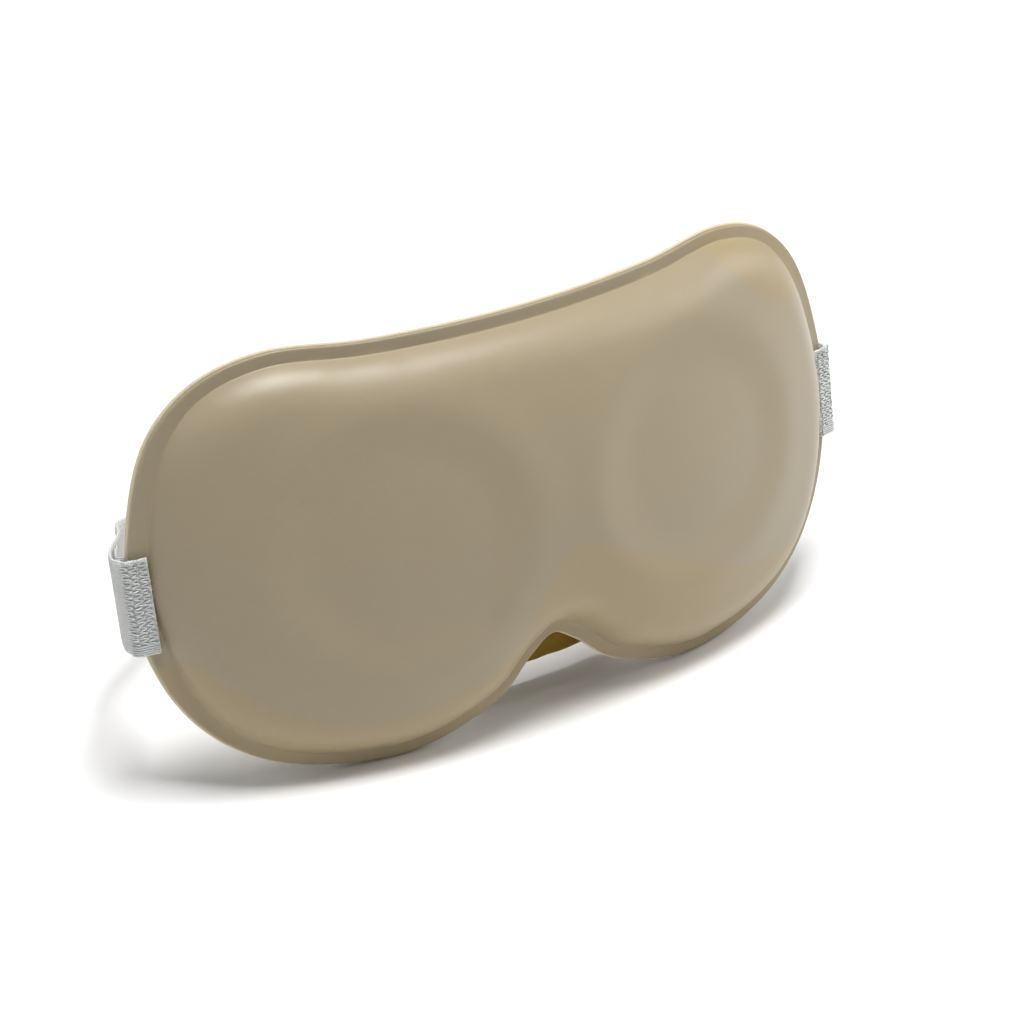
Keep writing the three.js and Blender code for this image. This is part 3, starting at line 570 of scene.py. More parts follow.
SHADES = {
    "cover_skin": cover_shade(),
    "foam": foam_shade("foam", (0.7, 0.62, 0.48), (0.42, 0.36, 0.26)),
    "frame_plastic": moulded_shade("frame_plastic", (0.78, 0.76, 0.7)),
    "cushion_foam": foam_shade("cushion_foam", (0.62, 0.55, 0.42), (0.4, 0.34, 0.24)),
    "lining_fabric": cloth_shade("lining_fabric", (0.68, 0.60, 0.44), (0.55, 0.48, 0.34)),
    "nose_flap_fabric": flap_shade(),
    "eye_cup_fabric": cloth_shade("eye_cup_fabric", (0.47, 0.405, 0.29), (0.40, 0.34, 0.24),
                                  0.00045, 0.00004, 0.2),
    "heating_film": film_shade(),
    "white_plastic": moulded_shade("white_plastic", (0.82, 0.8, 0.75)),
    "port_rubber": moulded_shade("port_rubber", (0.55, 0.51, 0.43), 0.7),
    "steel": metal_shade("steel", (0.62, 0.63, 0.65), 0.3, (9000, 900, 900)),
    "brass": metal_shade("brass", (0.62, 0.45, 0.17), 0.32, (900, 900, 7000)),
    "circuit_board": board_shade(),
    "black_plastic": moulded_shade("black_plastic", (0.02, 0.02, 0.022), 0.45),
    "light_pipe": clear_shade(),
    "battery_wrap": moulded_shade("battery_wrap", (0.35, 0.42, 0.52), 0.3),
    "lead_red": wire_shade("lead_red", (0.42, 0.02, 0.015)),
    "lead_black": wire_shade("lead_black", (0.015, 0.015, 0.017)),
    "strap_webbing": webbing_shade(),
    "strap_fittings": moulded_shade("strap_fittings", (0.6, 0.6, 0.58), 0.38),
    "stitching": thread_shade(),
}
for entry in frame["record"]["subparts"]:
    node = frame["nodes"][entry["node"]]
    node.data.materials.clear()
    node.data.materials.append(SHADES[entry["material_slot"]])


# ---- The layers of the mask ----
def roll(edge):
    """How far the padding has risen from the flange, from 0 to 1."""
    return np.sin(np.pi / 2 * np.clip((edge - FLANGE) / ROLL, 0, 1))


def cover_roll(plan, edge):
    """The cover's rise: it leaves the flange at a crease, which lies nearer the rim away from the straps."""
    start = FLANGE - 1.0 * (1 - smoothstep(np.abs(plan[:, 0]), 84, 97))
    return (1 - (1 - np.clip((edge - start) / ROLL, 0, 1)) ** 2.4) ** 0.7


COVER_RISE = 6.0
DISH_X, DISH_Z, DISH_RADIUS, DISH_DEPTH = 44.0, 4.5, 31.0, 1.5
DISH_LIP = 0.35
DIMPLE_X, DIMPLE_Z, DIMPLE_DEPTH, DIMPLE_RADIUS = -25.0, -21.0, 0.45, 3.0


def cover_depth(plan, edge):
    """How far the cover's front stands forward of the face curve."""
    dome = (COVER_DEPTH - COVER_RISE) * SWELLING.at(plan) ** 0.82
    total = COVER_RISE * cover_roll(plan, edge) + dome
    for sign in (-1, 1):
        radius = np.hypot(plan[:, 0] - sign * DISH_X, (plan[:, 1] - DISH_Z) * 1.02)
        total -= DISH_DEPTH * (1 - smoothstep(radius, DISH_RADIUS - 10, DISH_RADIUS + 5))
        total += DISH_LIP * np.exp(-(((radius - DISH_RADIUS - 6) / 6) ** 2)) * roll(edge)
    dimple = np.hypot(plan[:, 0] - DIMPLE_X, plan[:, 1] - DIMPLE_Z)
    return total - DIMPLE_DEPTH * np.exp(-((dimple / DIMPLE_RADIUS) ** 2))


# The edge of a painted reflection of a softbox panel, which shows as a faint change of tone: a smooth line
# below the eyes and over the nose, from a corner by the left strap, and another over the right brow.
REFLECTION_CORNER = [(-110, -10), (-103, -19)]
REFLECTION_LOW = catmull_rom([
    (-95, -17), (-85, -28.5), (-69, -38), (-49, -42), (-26.5, -37.5), (-17, -31.5), (-5.5, -14), (2, -7.5),
    (20, -15.5), (52, -30.5), (75, -34.5), (110, -26)], 64, power=0.5)
REFLECTION_HIGH = catmull_rom([(110, 33), (83, 33), (76, 36), (70, 42), (56, 56), (48, 64)], 28, power=0.5)
REFLECTION_EDGE = np.vstack([REFLECTION_CORNER, REFLECTION_LOW, REFLECTION_HIGH])


def reflection_distance(plan):
    """Signed distance in millimetres to the edge of the painted reflection: positive inside it."""
    ring = np.vstack([REFLECTION_EDGE, [(-110, 64)]])
    sign = np.where(inside(plan, ring), 1.0, -1.0)
    nearest = np.full(len(plan), 9.0)
    for a, b in zip(REFLECTION_EDGE[:-1], REFLECTION_EDGE[1:]):
        run = b - a
        t = np.clip(((plan - a) @ run) / (run @ run), 0, 1)
        nearest = np.minimum(nearest, np.linalg.norm(plan - (a + t[:, None] * run), axis=1))
    return sign * nearest


def add_attribute(obj, name, values, kind="FLOAT"):
    values = np.asarray(values, np.float32)
    made = obj.data.attributes.new(name, kind, "POINT")
    made.data.foreach_set("vector" if kind == "FLOAT_VECTOR" else "value", values.ravel())


def make_cover():
    face = Face(0, 64)
    front = -cover_depth(face.plan, face.edge)
    front += rounding(face.edge, 0.45)
    back = -cover_depth(face.plan, face.edge) + COVER_WALL - rounding(face.edge, 0.45)
    cover = two_sided("cover_shell", face, front, back, SHADES["cover_skin"], "mask")
    # The panel attribute carries the distance to the edge of the painted softbox reflection.
    distance = reflection_distance(face.plan)
    add_attribute(cover, "panel", np.concatenate([distance, distance]))
    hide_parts("outer_cover")
    return cover


FOAM_INSET, FOAM_WALL, FRAME_WALL = 9.0, 2.0, 1.0
CUSHION_INSET = 6.5


def eye_shape(sign, margin):
    """Signed distance to an ellipse round an eye, wider than the eye cup by a margin."""
    def distance(plan):
        x, z = plan[:, 0] - sign * EYE_X, plan[:, 1] - EYE_Z
        a, b = EYE_HALF_WIDTH + margin, EYE_HALF_HEIGHT + margin
        share = np.hypot(x / a, z / b)
        slope = np.hypot(x / a**2, z / b**2) / np.maximum(share, 1e-6)
        return (share - 1) / np.maximum(slope, 1e-3)
    return distance


def pod_shape(margin):
    """Signed distance to a rectangle round the pod, with small corners."""
    def distance(plan):
        corner = 1.2
        dx = np.abs(plan[:, 0]) - POD_WIDTH / 2 - margin + corner
        dz = np.abs(plan[:, 1] - POD_CENTRE_Z) - POD_HEIGHT / 2 - margin + corner
        outside = np.hypot(np.maximum(dx, 0), np.maximum(dz, 0))
        return outside + np.minimum(np.maximum(dx, dz), 0) - corner
    return distance


def skin_depth(edge):
    """The back of the padded lining."""
    return COVER_WALL + GAP + LINING_WALL + PAD_RISE * roll(edge)


def make_padding():
    face = Face(FOAM_INSET, 56)
    front = -cover_depth(face.plan, face.edge) + COVER_WALL + GAP
    thinner = np.zeros(len(face.plan))
    for sign in (-1, 1):
        radius = np.hypot(face.plan[:, 0] - sign * DISH_X, face.plan[:, 1] - DISH_Z)
        thinner += 1.35 * (1 - smoothstep(radius, DISH_RADIUS - 6, DISH_RADIUS + 5))
    back = np.minimum(front + FOAM_WALL - thinner, -FRAME_WALL - GAP)
    foam = two_sided("foam_pad", face, front + 0.05, back, SHADES["foam"], "mask")
    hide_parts("foam_layer")
    face = Face(CUSHION_INSET, 56)
    for shape in (eye_shape(-1, 2 * GAP), eye_shape(1, 2 * GAP), pod_shape(GAP)):
        face.open_up(shape)
    count = len(face.plan)
    cushion = two_sided("cushion", face, np.full(count, GAP), skin_depth(face.edge) - LINING_WALL - GAP,
                        SHADES["cushion_foam"], "mask")
    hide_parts("face_cushion")


def make_lining():
    """The skin side: a padded knit face with its cut edge behind the cover's flange."""
    face = Face(-0.4, 64)
    openings = (eye_shape(-1, GAP), eye_shape(1, GAP), pod_shape(GAP))
    for shape in openings:
        face.open_up(shape)
    depth = skin_depth(face.edge)
    near = np.minimum.reduce([shape(face.plan) for shape in openings])
    depth -= 0.55 * (1 - smoothstep(near, 0, 2.6))
    groove = 0.35 * np.exp(-(((face.edge - 2.9) / 0.55) ** 2))
    softness = 0.22 * np.sin(face.plan[:, 0] * 0.21 + 1.3) * np.cos(face.plan[:, 1] * 0.17) * roll(face.edge)
    back = depth - groove + softness * smoothstep(near, 0, 8) - rounding(face.edge + 0.4, 0.35)
    front = skin_depth(face.edge) - LINING_WALL + rounding(face.edge + 0.4, 0.3)
    front -= 0.24 * (1 - smoothstep(face.edge, 2, 4))
    lining = two_sided("lining_skin", face, front, back, SHADES["lining_fabric"], "mask")
    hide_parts("skin_lining")


def stitches(name, path, normals, length, gap, radius, shade, body):
    """A run of stitches along a path: each one a short thread that dips at both ends."""
    run = np.r_[0, np.cumsum(np.linalg.norm(np.diff(path, axis=0), axis=1))]
    count = int(run[-1] / (length + gap))
    vertices, faces = [], []
    for k in range(count):
        at = (k + np.linspace(0.06, 0.06 + length / (length + gap), 7)) * run[-1] / count
        middle = np.column_stack([np.interp(at, run, c) for c in path.T])
        away = np.column_stack([np.interp(at, run, c) for c in normals.T])
        lift = radius * (np.sin(np.linspace(0, math.pi, 7)) * 1.5 - 0.6)
        more, quads = tube_mesh(middle + away * lift[:, None], radius, 6, start=len(vertices))
        vertices += more
        faces += quads
    made = make_object(name, vertices, faces, shade, body)
    return made


def make_edge_seam():
    """The seam that closes the flange, on the skin side."""
    count = AROUND * 2
    ring = outline_points(count)
    tangent = np.roll(ring, -1, axis=0) - np.roll(ring, 1, axis=0)
    tangent /= np.linalg.norm(tangent, axis=1)[:, None]
    ring = ring + np.column_stack([-tangent[:, 1], tangent[:, 0]]) * 2.9
    ring = np.vstack([ring, ring[:1]])
    depth = COVER_WALL + GAP + LINING_WALL - 0.28
    path = standing(np.column_stack([ring[:, 0], wrap(ring[:, 0]) + depth, ring[:, 1]]))
    away = np.tile(TILT @ np.array([0, 1, 0]), (len(path), 1))
    stitches("edge_seam", path, away, 2.1, 0.5, 0.16, SHADES["stitching"], "mask")


def skin_faces(rows, count):
    """The faces over rows of count points each, with a cap at both ends."""
    faces = []
    for t in range(rows - 1):
        for k in range(count):
            a, b = t * count + k, t * count + (k + 1) % count
            faces.append((a, a + count, b + count, b))
    faces.append(tuple(range(count)))
    faces.append(tuple((rows - 1) * count + k for k in reversed(range(count))))
    return faces


def lathe(name, profile, sign, shade, sides=128):
    """A closed bowl turned round an eye's axis, stretched to its ellipse and bent to the face curve."""
    profile = np.array(profile, float)
    vertices = []
    for r, y in profile:
        for k in range(sides):
            a = 2 * math.pi * k / sides
            x, z = sign * EYE_X + r * EYE_HALF_WIDTH * math.cos(a), EYE_Z + r * EYE_HALF_HEIGHT * math.sin(a)
            vertices.append((x, y + float(wrap(x)), z))
    made = make_object(name, standing(vertices), skin_faces(len(profile), sides), shade, "mask")
    recalculate(made)
    return made


def recalculate(obj):
    """Turns every face of a closed mesh outwards."""
    mesh = bmesh.new()
    mesh.from_mesh(obj.data)
    bmesh.ops.recalc_face_normals(mesh, faces=mesh.faces)
    mesh.to_mesh(obj.data)
    mesh.free()


def smooth_profile(points, count):
    return catmull_rom(points, count, power=0.5)


def make_eye_cups():
    floor = SKIN_FACE - CUP_DEPTH - 0.9
    for side, sign in (("left", -1), ("right", 1)):
        outer = smooth_profile([
            (0.02, floor), (0.3, floor), (0.5, floor + 0.05), (0.7, floor + 1.5), (0.86, floor + 4.6),
            (0.95, SKIN_FACE - 1.6), (1.0, SKIN_FACE - 0.9)], 36)
        lip = smooth_profile([
            (1.0, SKIN_FACE - 0.9), (1.008, SKIN_FACE - 0.4), (0.995, SKIN_FACE + 0.05),
            (0.965, SKIN_FACE - 0.1), (0.935, SKIN_FACE - 0.75)], 14)[1:]
        inner = smooth_profile([
            (0.935, SKIN_FACE - 0.75), (0.82, floor + 4.9), (0.66, floor + 2.1), (0.48, floor + 1.0),
            (0.44, floor + 0.86), (0.4, floor + 0.92), (0.2, floor + 0.9), (0.02, floor + 0.9)], 48)[1:]
        cup = lathe(f"cup_{side}", np.vstack([outer, lip, inner]), sign, SHADES["eye_cup_fabric"])
        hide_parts(f"eye_cup_{side}")
        piping = []
        for k in range(256):
            a = 2 * math.pi * k / 256
            x = sign * EYE_X + (EYE_HALF_WIDTH + 0.55) * math.cos(a)
            z = EYE_Z + (EYE_HALF_HEIGHT + 0.55) * math.sin(a)
            piping.append((x, float(wrap(x)) + SKIN_FACE - 0.25, z))
        ring = tube(f"cup_binding_{side}", standing(piping), 0.62, SHADES["lining_fabric"], "mask", 12,
                    closed=True)


def make_nose_flap():
    """The flap's cloth, sewn along its top edge and left to hang by simulation."""
    width, height, wall, top = 50.0, 22.4, 1.0, -27.0
    nx, nz = 71, 32
    level = SKIN_FACE + float(wrap(width / 2)) + GAP + 0.7
    vertices, flat = [], []
    for k in range(nz):
        for i in range(nx):
            x = (i / (nx - 1) - 0.5) * width
            drop = k / (nz - 1) * height
            corner = max(0.0, abs(x) - (width / 2 - 6)) / 6
            drop = min(drop, height - 6 * (1 - math.sqrt(max(0.0, 1 - corner**2))) * (k / (nz - 1)))
            ripple = 0.3 * math.sin(x * 0.3 + 0.6) * (drop / height)
            vertices.append((x, level + ripple, top - drop))
            flat.append(drop)
    faces = [(k * nx + i, k * nx + i + 1, (k + 1) * nx + i + 1, (k + 1) * nx + i)
             for k in range(nz - 1) for i in range(nx - 1)]
    flap = make_object("nose_flap_cloth", standing(vertices), faces, SHADES["nose_flap_fabric"])
    group = flap.vertex_groups.new(name="sewn")
    group.add([v for v, drop in enumerate(flat) if drop < 3.0], 1.0, "REPLACE")
    cloth = flap.modifiers.new("cloth", "CLOTH").settings
    cloth.vertex_group_mass = "sewn"
    cloth.quality, cloth.mass = 8, 0.25
    cloth.tension_stiffness = cloth.compression_stiffness = 60
    cloth.shear_stiffness, cloth.bending_stiffness = 60, 60
    cloth.air_damping = 4
    cloth.effector_weights.gravity = 0.12
    flap.modifiers["cloth"].point_cache.frame_end = 40
    scene = bpy.context.scene
    for frame_number in range(1, 31):
        scene.frame_set(frame_number)
    hung = flap.evaluated_get(bpy.context.evaluated_depsgraph_get())
    points = np.array([v.co for v in hung.data.vertices]) / MM
    bpy.data.objects.remove(flap)
    scene.frame_set(1)
    return solid_sheet("nose_flap_cloth", points, faces, nx, nz, wall)


def solid_sheet(name, points, faces, nx, nz, wall):
    """A cloth grid given its thickness, with a rounded edge."""
    grid = points.reshape(nz, nx, 3)
    across = np.gradient(grid, axis=1)
    down = np.gradient(grid, axis=0)
    normal = np.cross(across, down)
    normal /= np.linalg.norm(normal, axis=2)[..., None]
    i, k = np.meshgrid(np.arange(nx), np.arange(nz))
    rim = np.minimum.reduce([i, nx - 1 - i, k, nz - 1 - k])
    half = (wall / 2) * np.where(rim == 0, 0.45, np.where(rim == 1, 0.92, 1.0))[..., None]
    both = np.vstack([(grid + normal * half).reshape(-1, 3), (grid - normal * half).reshape(-1, 3)])
    count = nx * nz
    quads = list(faces) + [tuple(v + count for v in f[::-1]) for f in faces]
    quads += [(b, a, a + count, b + count) for a, b in boundary_edges([tuple(f) for f in faces])]
    made = make_object(name, both, quads, SHADES["nose_flap_fabric"], "mask")
    recalculate(made)
    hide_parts("nose_flap")
    return made


# ---- The strap ----
SIDE_HIGH = np.array(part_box("strap_side_right")[1]) / MM
REACH = SIDE_HIGH[1] - STRAP_WALL / 2
RAIL_WALL, RAIL_GAP, BAR_WALL = 2.0, 0.5, 1.8
STRAP_LOW = STRAP_WIDTH / 2 + RAIL_GAP + RAIL_WALL
BACK_STRAIGHT = 36.0
LAYER = STRAP_WALL + GAP
TAIL = 2 * LAYER + BAR_WALL + 0.1
TAB_END = HALF_WIDTH - FLANGE + 0.2
TAB_DEPTH = -GAP - STRAP_WALL / 2
RING_X, RING_HALF, RING_BAR = 18.0, 6.2, 2.4
SLIDER_LOW, SLIDER_HIGH = (np.array(corner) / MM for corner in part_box("strap_slider"))
SLIDER_X = (SLIDER_LOW[0] + SLIDER_HIGH[0]) / 2
MASK_UP = TILT @ np.array([0, 0, 1.0])
UPRIGHT = np.array([0, 0, 1.0])


def side_path(sign, count):
    """The strap's middle line on one side, from its sewn end to the straight stretch behind the head."""
    edge_y = float(wrap(HALF_WIDTH))
    local = [
        (TAB_END, float(wrap(TAB_END)) + TAB_DEPTH, STRAP_Z),
        (HALF_WIDTH - 1.4, float(wrap(HALF_WIDTH - 1.4)) + TAB_DEPTH, STRAP_Z),
        (HALF_WIDTH + 0.5, edge_y + TAB_DEPTH, STRAP_Z), (HALF_WIDTH + 1.3, edge_y + 0.6, STRAP_Z),
        (HALF_WIDTH + 2.0, edge_y + 4, STRAP_Z), (HALF_WIDTH + 0.3, edge_y + 9.5, STRAP_Z),
        (HALF_WIDTH - 7.5, edge_y + 22, STRAP_Z - 1),
    ]
    points = list(standing([(sign * x, y, z) for x, y, z in local]))
    start_y, start_z = points[-1][1], points[-1][2]
    for inward, run, drop in ((15, 0.27, 0.78), (34, 0.56, 0.46), (52, 0.84, 0.14)):
        points.append((sign * (HALF_WIDTH - inward), start_y + (REACH - start_y) * run,
                       STRAP_LOW + (start_z - STRAP_LOW) * drop))
    points += [(sign * (BACK_STRAIGHT + 4), REACH - 0.4, STRAP_LOW), (sign * BACK_STRAIGHT, REACH, STRAP_LOW)]
    return catmull_rom(points, count, power=0.5)


def ribbon(name, path, ups, body=None, wall=STRAP_WALL, width=STRAP_WIDTH, steps=44):
    """Woven elastic along a path: a flat band with fine cords along it and soft, slightly wavy edges."""
    path = np.asarray(path, float)
    tangent = np.gradient(path, axis=0)
    tangent /= np.linalg.norm(tangent, axis=1)[:, None]
    across = ups - tangent * np.sum(ups * tangent, axis=1)[:, None]
    across /= np.linalg.norm(across, axis=1)[:, None]
    out = np.cross(tangent, across)
    run = np.r_[0, np.cumsum(np.linalg.norm(np.diff(path, axis=0), axis=1))]
    v = np.sin(np.linspace(-1, 1, steps) * math.pi / 2) * 0.35 + np.linspace(-1, 1, steps) * 0.65
    half = wall / 2 * (1 - np.abs(v) ** 14) ** 0.5 * (0.93 + 0.07 * np.cos(v * math.pi * width / 1.25))
    edge = np.maximum(half, 0.08)
    section = np.concatenate([np.column_stack([v, edge]), np.column_stack([v, -edge])[::-1]])
    wave = 0.10 * np.sin(run * 1.9) + 0.06 * np.sin(run * 4.3 + 1)
    vertices, weave = [], []
    for t, (point, side, face) in enumerate(zip(path, across, out)):
        for s, h in section:
            vertices.append(point + side * s * (width / 2 + wave[t] * abs(s) ** 8) + face * h)
            weave.append((run[t], s * width / 2, h))
    faces = skin_faces(len(path), len(section))
    made = make_object(name, vertices, faces, SHADES["strap_webbing"], body)
    recalculate(made)
    add_attribute(made, "weave", weave, "FLOAT_VECTOR")
    return made


def make_side_straps():
    for side, sign in (("left", -1), ("right", 1)):
        path = side_path(sign, 260)
        share = np.linspace(0, 1, len(path))[:, None]
        leaning = 1 - smoothstep(share, 0.12, 0.8)
        strap = ribbon(f"strap_band_{side}", path, UPRIGHT * (1 - leaning) + MASK_UP * leaning)
        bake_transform(strap)
        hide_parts(f"strap_end_{side}", f"strap_fold_{side}", f"strap_side_{side}")
        edge_y = float(wrap(HALF_WIDTH))
        back = COVER_WALL + GAP + LINING_WALL + GAP + 0.45
        inner = standing([(sign * x, y, STRAP_Z) for x, y in (
            (TAB_END + 0.2, float(wrap(TAB_END)) + back),
            (HALF_WIDTH - 1, float(wrap(HALF_WIDTH - 1)) + back), (HALF_WIDTH + 0.4, edge_y + 4.4),
            (HALF_WIDTH - 0.5, edge_y + 8), (HALF_WIDTH - 2.8, edge_y + 12))])
        path = catmull_rom(inner, 44, power=0.5)
        ups = np.tile(MASK_UP, (len(path), 1))
        tab = ribbon(f"strap_tab_{side}", path, ups, wall=0.9, width=STRAP_WIDTH - 0.6)
        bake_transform(tab)


def folded_path(x0, x_bar, x1, sign, front, count):
    """Along the front layer, round a bar and back along the tail layer."""
    points = [
        (x0, front), ((x0 + x_bar) / 2, front), (x_bar - sign * 0.4, front),
        (x_bar + sign * 0.6, front + 0.5), (x_bar + sign * 0.95, front + 1.4),
        (x_bar + sign * 0.95, TAIL - 1.4), (x_bar + sign * 0.6, TAIL - 0.5),
        (x_bar - sign * 0.4, TAIL), ((x1 + x_bar) / 2, TAIL), (x1, TAIL),
    ]
    return catmull_rom([(x, REACH + y, STRAP_LOW) for x, y in points], count, power=0.5)


def make_back_straps():
    turn_end = RING_X - RING_HALF - 1.5
    upright = lambda path: np.tile(UPRIGHT, (len(path), 1))
    main = folded_path(-BACK_STRAIGHT, RING_X - RING_HALF + RING_BAR, turn_end, 1, 0, 110)
    piece = ribbon("strap_back", main, upright(main), "strap")
    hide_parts("strap_main")
    short = folded_path(BACK_STRAIGHT, RING_X + RING_HALF - RING_BAR, RING_X + RING_HALF + 6, -1, 0, 70)
    piece = ribbon("strap_return", short, upright(short), "strap")
    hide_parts("strap_short")
    loop = folded_path(SLIDER_X + 5, SLIDER_X - 1, SLIDER_X + 5, -1, LAYER, 60)
    piece = ribbon("strap_loop", loop, upright(loop), "adjuster")
    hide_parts("strap_tail_loop")
    xs = np.linspace(SLIDER_X + 5, turn_end, 40)
    tail = np.column_stack([xs, np.full(40, REACH + TAIL), np.full(40, STRAP_LOW)])
    piece = ribbon("strap_free_run", tail, upright(tail), "strap")
    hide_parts("strap_tail")
    return piece


def make_bar_tacks():
    """The thick zigzag that sews the strap to the flange, following the strap round the mask's edge."""
    half = STRAP_WIDTH / 2 - 0.4
    thread, hair = 0.24, 0.045
    for side, sign in (("left", -1), ("right", 1)):
        rng = np.random.default_rng(11 if sign < 0 else 12)
        path = side_path(sign, 900)[:80]
        run = np.r_[0, np.cumsum(np.linalg.norm(np.diff(path, axis=0), axis=1))]
        along = np.gradient(path, axis=0)
        out = np.cross(along, MASK_UP) * sign
        out /= np.linalg.norm(out, axis=1)[:, None]
        vertices, faces = [], []

        def on_strap(plan, lift):
            at = [np.column_stack([np.interp(plan[:, 0], run, c) for c in rows.T]) for rows in (path, out)]
            return at[0] + at[1] * (STRAP_WALL / 2 + lift)[:, None] + MASK_UP * plan[:, 1:2]

        def add_tube(line, radius, sides):
            more, quads = tube_mesh(line, radius, sides, start=len(vertices))
            vertices.extend(more)
            faces.extend(quads)

        def sew(plan, lift):
            add_tube(on_strap(plan, lift), thread, 7)

        columns, low, high = 3, 0.5, 6.7
        width = (high - low) / columns
        pitch, foot, row_pitch = 0.72, 2.6, 0.56
        for c in range(columns):
            zs = np.arange(-half + foot, half, pitch)
            xs = low + (c + 0.5) * width + np.where(np.arange(len(zs)) % 2, 1, -1) * width * 0.5
            plan = np.column_stack([xs + rng.normal(0, 0.16, len(zs)), zs + rng.normal(0, 0.12, len(zs))])
            fine = catmull_rom(plan, len(plan) * 5)
            sew(fine, 0.16 + 0.09 * np.sin(np.arange(len(fine)) * 1.3 + c))
        for z in np.arange(-half, -half + foot, row_pitch):
            xs = np.linspace(low - 0.1, high + 0.1, 16)
            plan = np.column_stack([xs, z + rng.normal(0, 0.04, 16)])
            sew(plan, 0.17 + 0.07 * np.sin(xs * 2.1 + z))
        for _ in range(190):
            upper = rng.random() < 0.5
            x = low + rng.random() * (high - low) if upper else low + rng.random() * 0.3
            z = half if upper else (rng.random() * 2 - 1) * half
            length = 0.4 + rng.random() * 0.5
            start = on_strap(np.array([[x, z]]), np.array([0.1]))[0]
            near = out[0] if upper else out[0] * 1.2
            aim = near * 0.7 + (MASK_UP if upper else np.array([-sign, 0, 0])) * 0.6 + rng.normal(0, 0.4, 3)
            aim /= np.linalg.norm(aim)
            t = np.linspace(0, 1, 5)[:, None]
            line = start + aim * t * length + rng.normal(0, 0.2, 3) * t * t * length
            add_tube(line, hair, 5)
        tack = make_object(f"tack_{side}", vertices, faces, SHADES["stitching"], "mask")
        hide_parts(f"bar_tack_{side}")


def make_box_stitches():
    """Rows of stitches that close the strap's loops behind the head."""
    rows = [
        ("loop_stitches", SLIDER_X + 4.2, REACH + TAIL + STRAP_WALL / 2, "adjuster"),
        ("main_stitches", RING_X - RING_HALF - 0.9, REACH + TAIL + STRAP_WALL / 2, "strap"),
        ("return_stitches", RING_X + RING_HALF + 4.6, REACH + TAIL + STRAP_WALL / 2, "strap"),
    ]
    for name, x, y, body in rows:
        zs = np.linspace(STRAP_LOW - STRAP_WIDTH / 2 + 1.2, STRAP_LOW + STRAP_WIDTH / 2 - 1.2, 30)
        path = np.column_stack([np.full(30, x), np.full(30, y), zs])
        stitches(name, path, np.tile([0, 1.0, 0], (30, 1)), 1.5, 0.45, 0.15, SHADES["stitching"], body)
    xs = np.linspace(-24, 24, 40)
    level = SKIN_FACE + float(wrap(25.0)) + GAP + 0.7 + 0.5
    path = standing(np.column_stack([xs, np.full(40, level), np.full(40, -28.4)]))
    stitches("flap_stitches", path, np.tile(TILT @ np.array([0, 1.0, 0]), (40, 1)), 2.0, 0.6, 0.16,
             SHADES["stitching"], "mask")


def rounded_copy(name, node, radius, shade, body, segments=3, angle=35):
    """A CAD piece with its sharp edges rounded."""
    mesh = bmesh.new()
    mesh.from_mesh(frame["nodes"][node].data)
    bmesh.ops.remove_doubles(mesh, verts=mesh.verts, dist=1e-6)
    bmesh.ops.dissolve_limit(mesh, angle_limit=math.radians(2), verts=mesh.verts, edges=mesh.edges)
    edges = [e for e in mesh.edges if len(e.link_faces) == 2 and e.calc_face_angle(0) > math.radians(angle)]
    bmesh.ops.bevel(mesh, geom=edges, offset=radius * MM, segments=segments, profile=0.5, affect="EDGES",
                    clamp_overlap=True)
    data = bpy.data.meshes.new(name)
    mesh.to_mesh(data)
    mesh.free()
    data.polygons.foreach_set("use_smooth", np.ones(len(data.polygons), bool))
    data.set_sharp_from_angle(angle=math.radians(38))
    data.materials.clear()
    data.materials.append(SHADES[shade])
    made = bpy.data.objects.new(name, data)
    bpy.context.scene.collection.objects.link(made)
    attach(made, body)
    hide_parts(node)
    return made


make_cover()
make_padding()
make_lining()
make_edge_seam()
make_eye_cups()
make_nose_flap()
make_side_straps()
free_run = make_back_straps()
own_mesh(free_run)
make_bar_tacks()
make_box_stitches()
rounded_copy("adjuster_slide", "strap_slider", 0.45, "strap_fittings", "adjuster")
rounded_copy("adjuster_ring", "strap_ring", 0.5, "strap_fittings", "strap")
rounded_copy("pod_face", "pod_panel", 0.18, "white_plastic", "mask", 2)
rounded_copy("port_door", "port_cover", 0.22, "port_rubber", "port_door", 2)
rounded_copy("button_cap", "power_button", 0.35, "white_plastic", "button", 3)


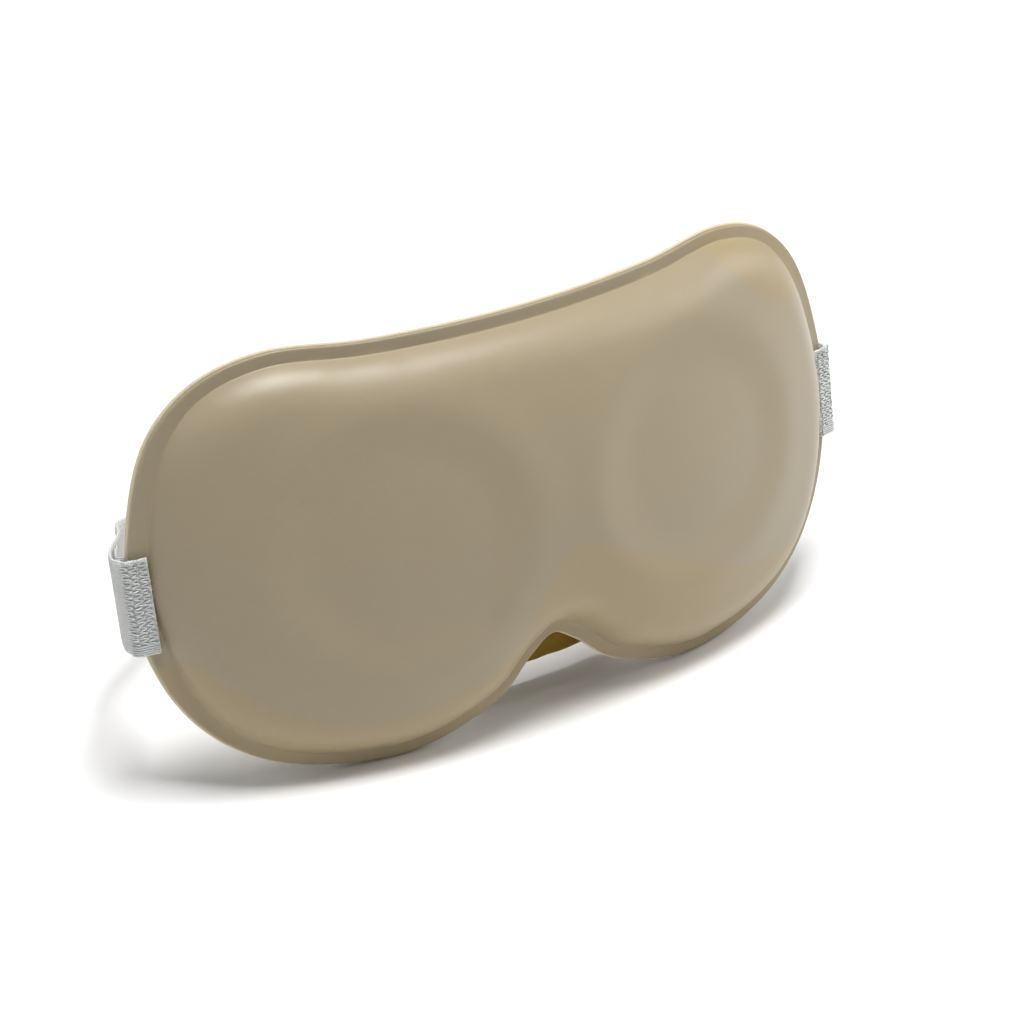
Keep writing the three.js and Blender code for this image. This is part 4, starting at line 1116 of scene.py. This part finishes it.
# ---- Camera, floor and lights ----
def make_stage():
    scene = bpy.context.scene
    scene.view_settings.view_transform = "Standard"
    scene.view_settings.look = "None"
    floor = bpy.data.meshes.new("floor")
    floor.from_pydata([(-6, -6, 0), (6, -6, 0), (6, 6, 0), (-6, 6, 0)], [], [(0, 1, 2, 3)])
    floor_object = bpy.data.objects.new("floor", floor)
    scene.collection.objects.link(floor_object)
    pale = Shade("floor", (0.93, 0.93, 0.93), 0.6)
    # Beyond 1 m from the origin the floor glows, more the farther out: painted light that keeps the far floor
    # white where the lamps fall off.
    away = pale.node("ShaderNodeVectorMath", {0: pale.place()}, operation="LENGTH").outputs["Value"]
    pale.set("Emission Color", (1, 1, 1, 1))
    pale.link(pale.math("MULTIPLY_ADD", away, 0.9, -0.9, clamp=True), "Emission Strength")
    floor.materials.append(pale.material)

    world = bpy.data.worlds.new("studio")
    world.use_nodes = True
    world.node_tree.nodes["Background"].inputs["Color"].default_value = (1, 1, 1, 1)
    world.node_tree.nodes["Background"].inputs["Strength"].default_value = 0.24
    scene.world = world

    target = Vector((0, -0.03, 0.05))

    def soft_box(name, azimuth, elevation, distance, width, height, power):
        light = bpy.data.lights.new(name, "AREA")
        light.shape, light.size, light.size_y, light.energy = "RECTANGLE", width, height, power
        placed = bpy.data.objects.new(name, light)
        a, e = math.radians(azimuth), math.radians(elevation)
        back = Vector((math.sin(a) * math.cos(e), -math.cos(a) * math.cos(e), math.sin(e)))
        placed.location = target + back * distance
        placed.rotation_euler = (-back).to_track_quat("-Z", "Y").to_euler()
        scene.collection.objects.link(placed)

    soft_box("key", 78, 28, 1.3, 0.7, 0.7, 6.3)
    soft_box("top", 50, 87, 1.4, 0.55, 0.55, 23)
    soft_box("fill", -100, 40, 1.6, 0.8, 0.8, 2)

    camera = bpy.data.objects.new("camera", bpy.data.cameras.new("camera"))
    azimuth, elevation, distance = math.radians(-33.263), math.radians(29.46), 0.739
    back = Vector((math.sin(azimuth) * math.cos(elevation), -math.cos(azimuth) * math.cos(elevation),
                   math.sin(elevation)))
    camera.location = Vector(ORIGIN * MM) + back * distance
    camera.rotation_euler = (-back).to_track_quat("-Z", "Y").to_euler()
    camera.data.lens, camera.data.sensor_width = 102.0, 36.0
    camera.data.shift_x, camera.data.shift_y = -0.0281, -0.0068
    camera.data.dof.use_dof = False
    camera.data.clip_start = 0.01
    scene.collection.objects.link(camera)
    scene.camera = camera


make_stage()
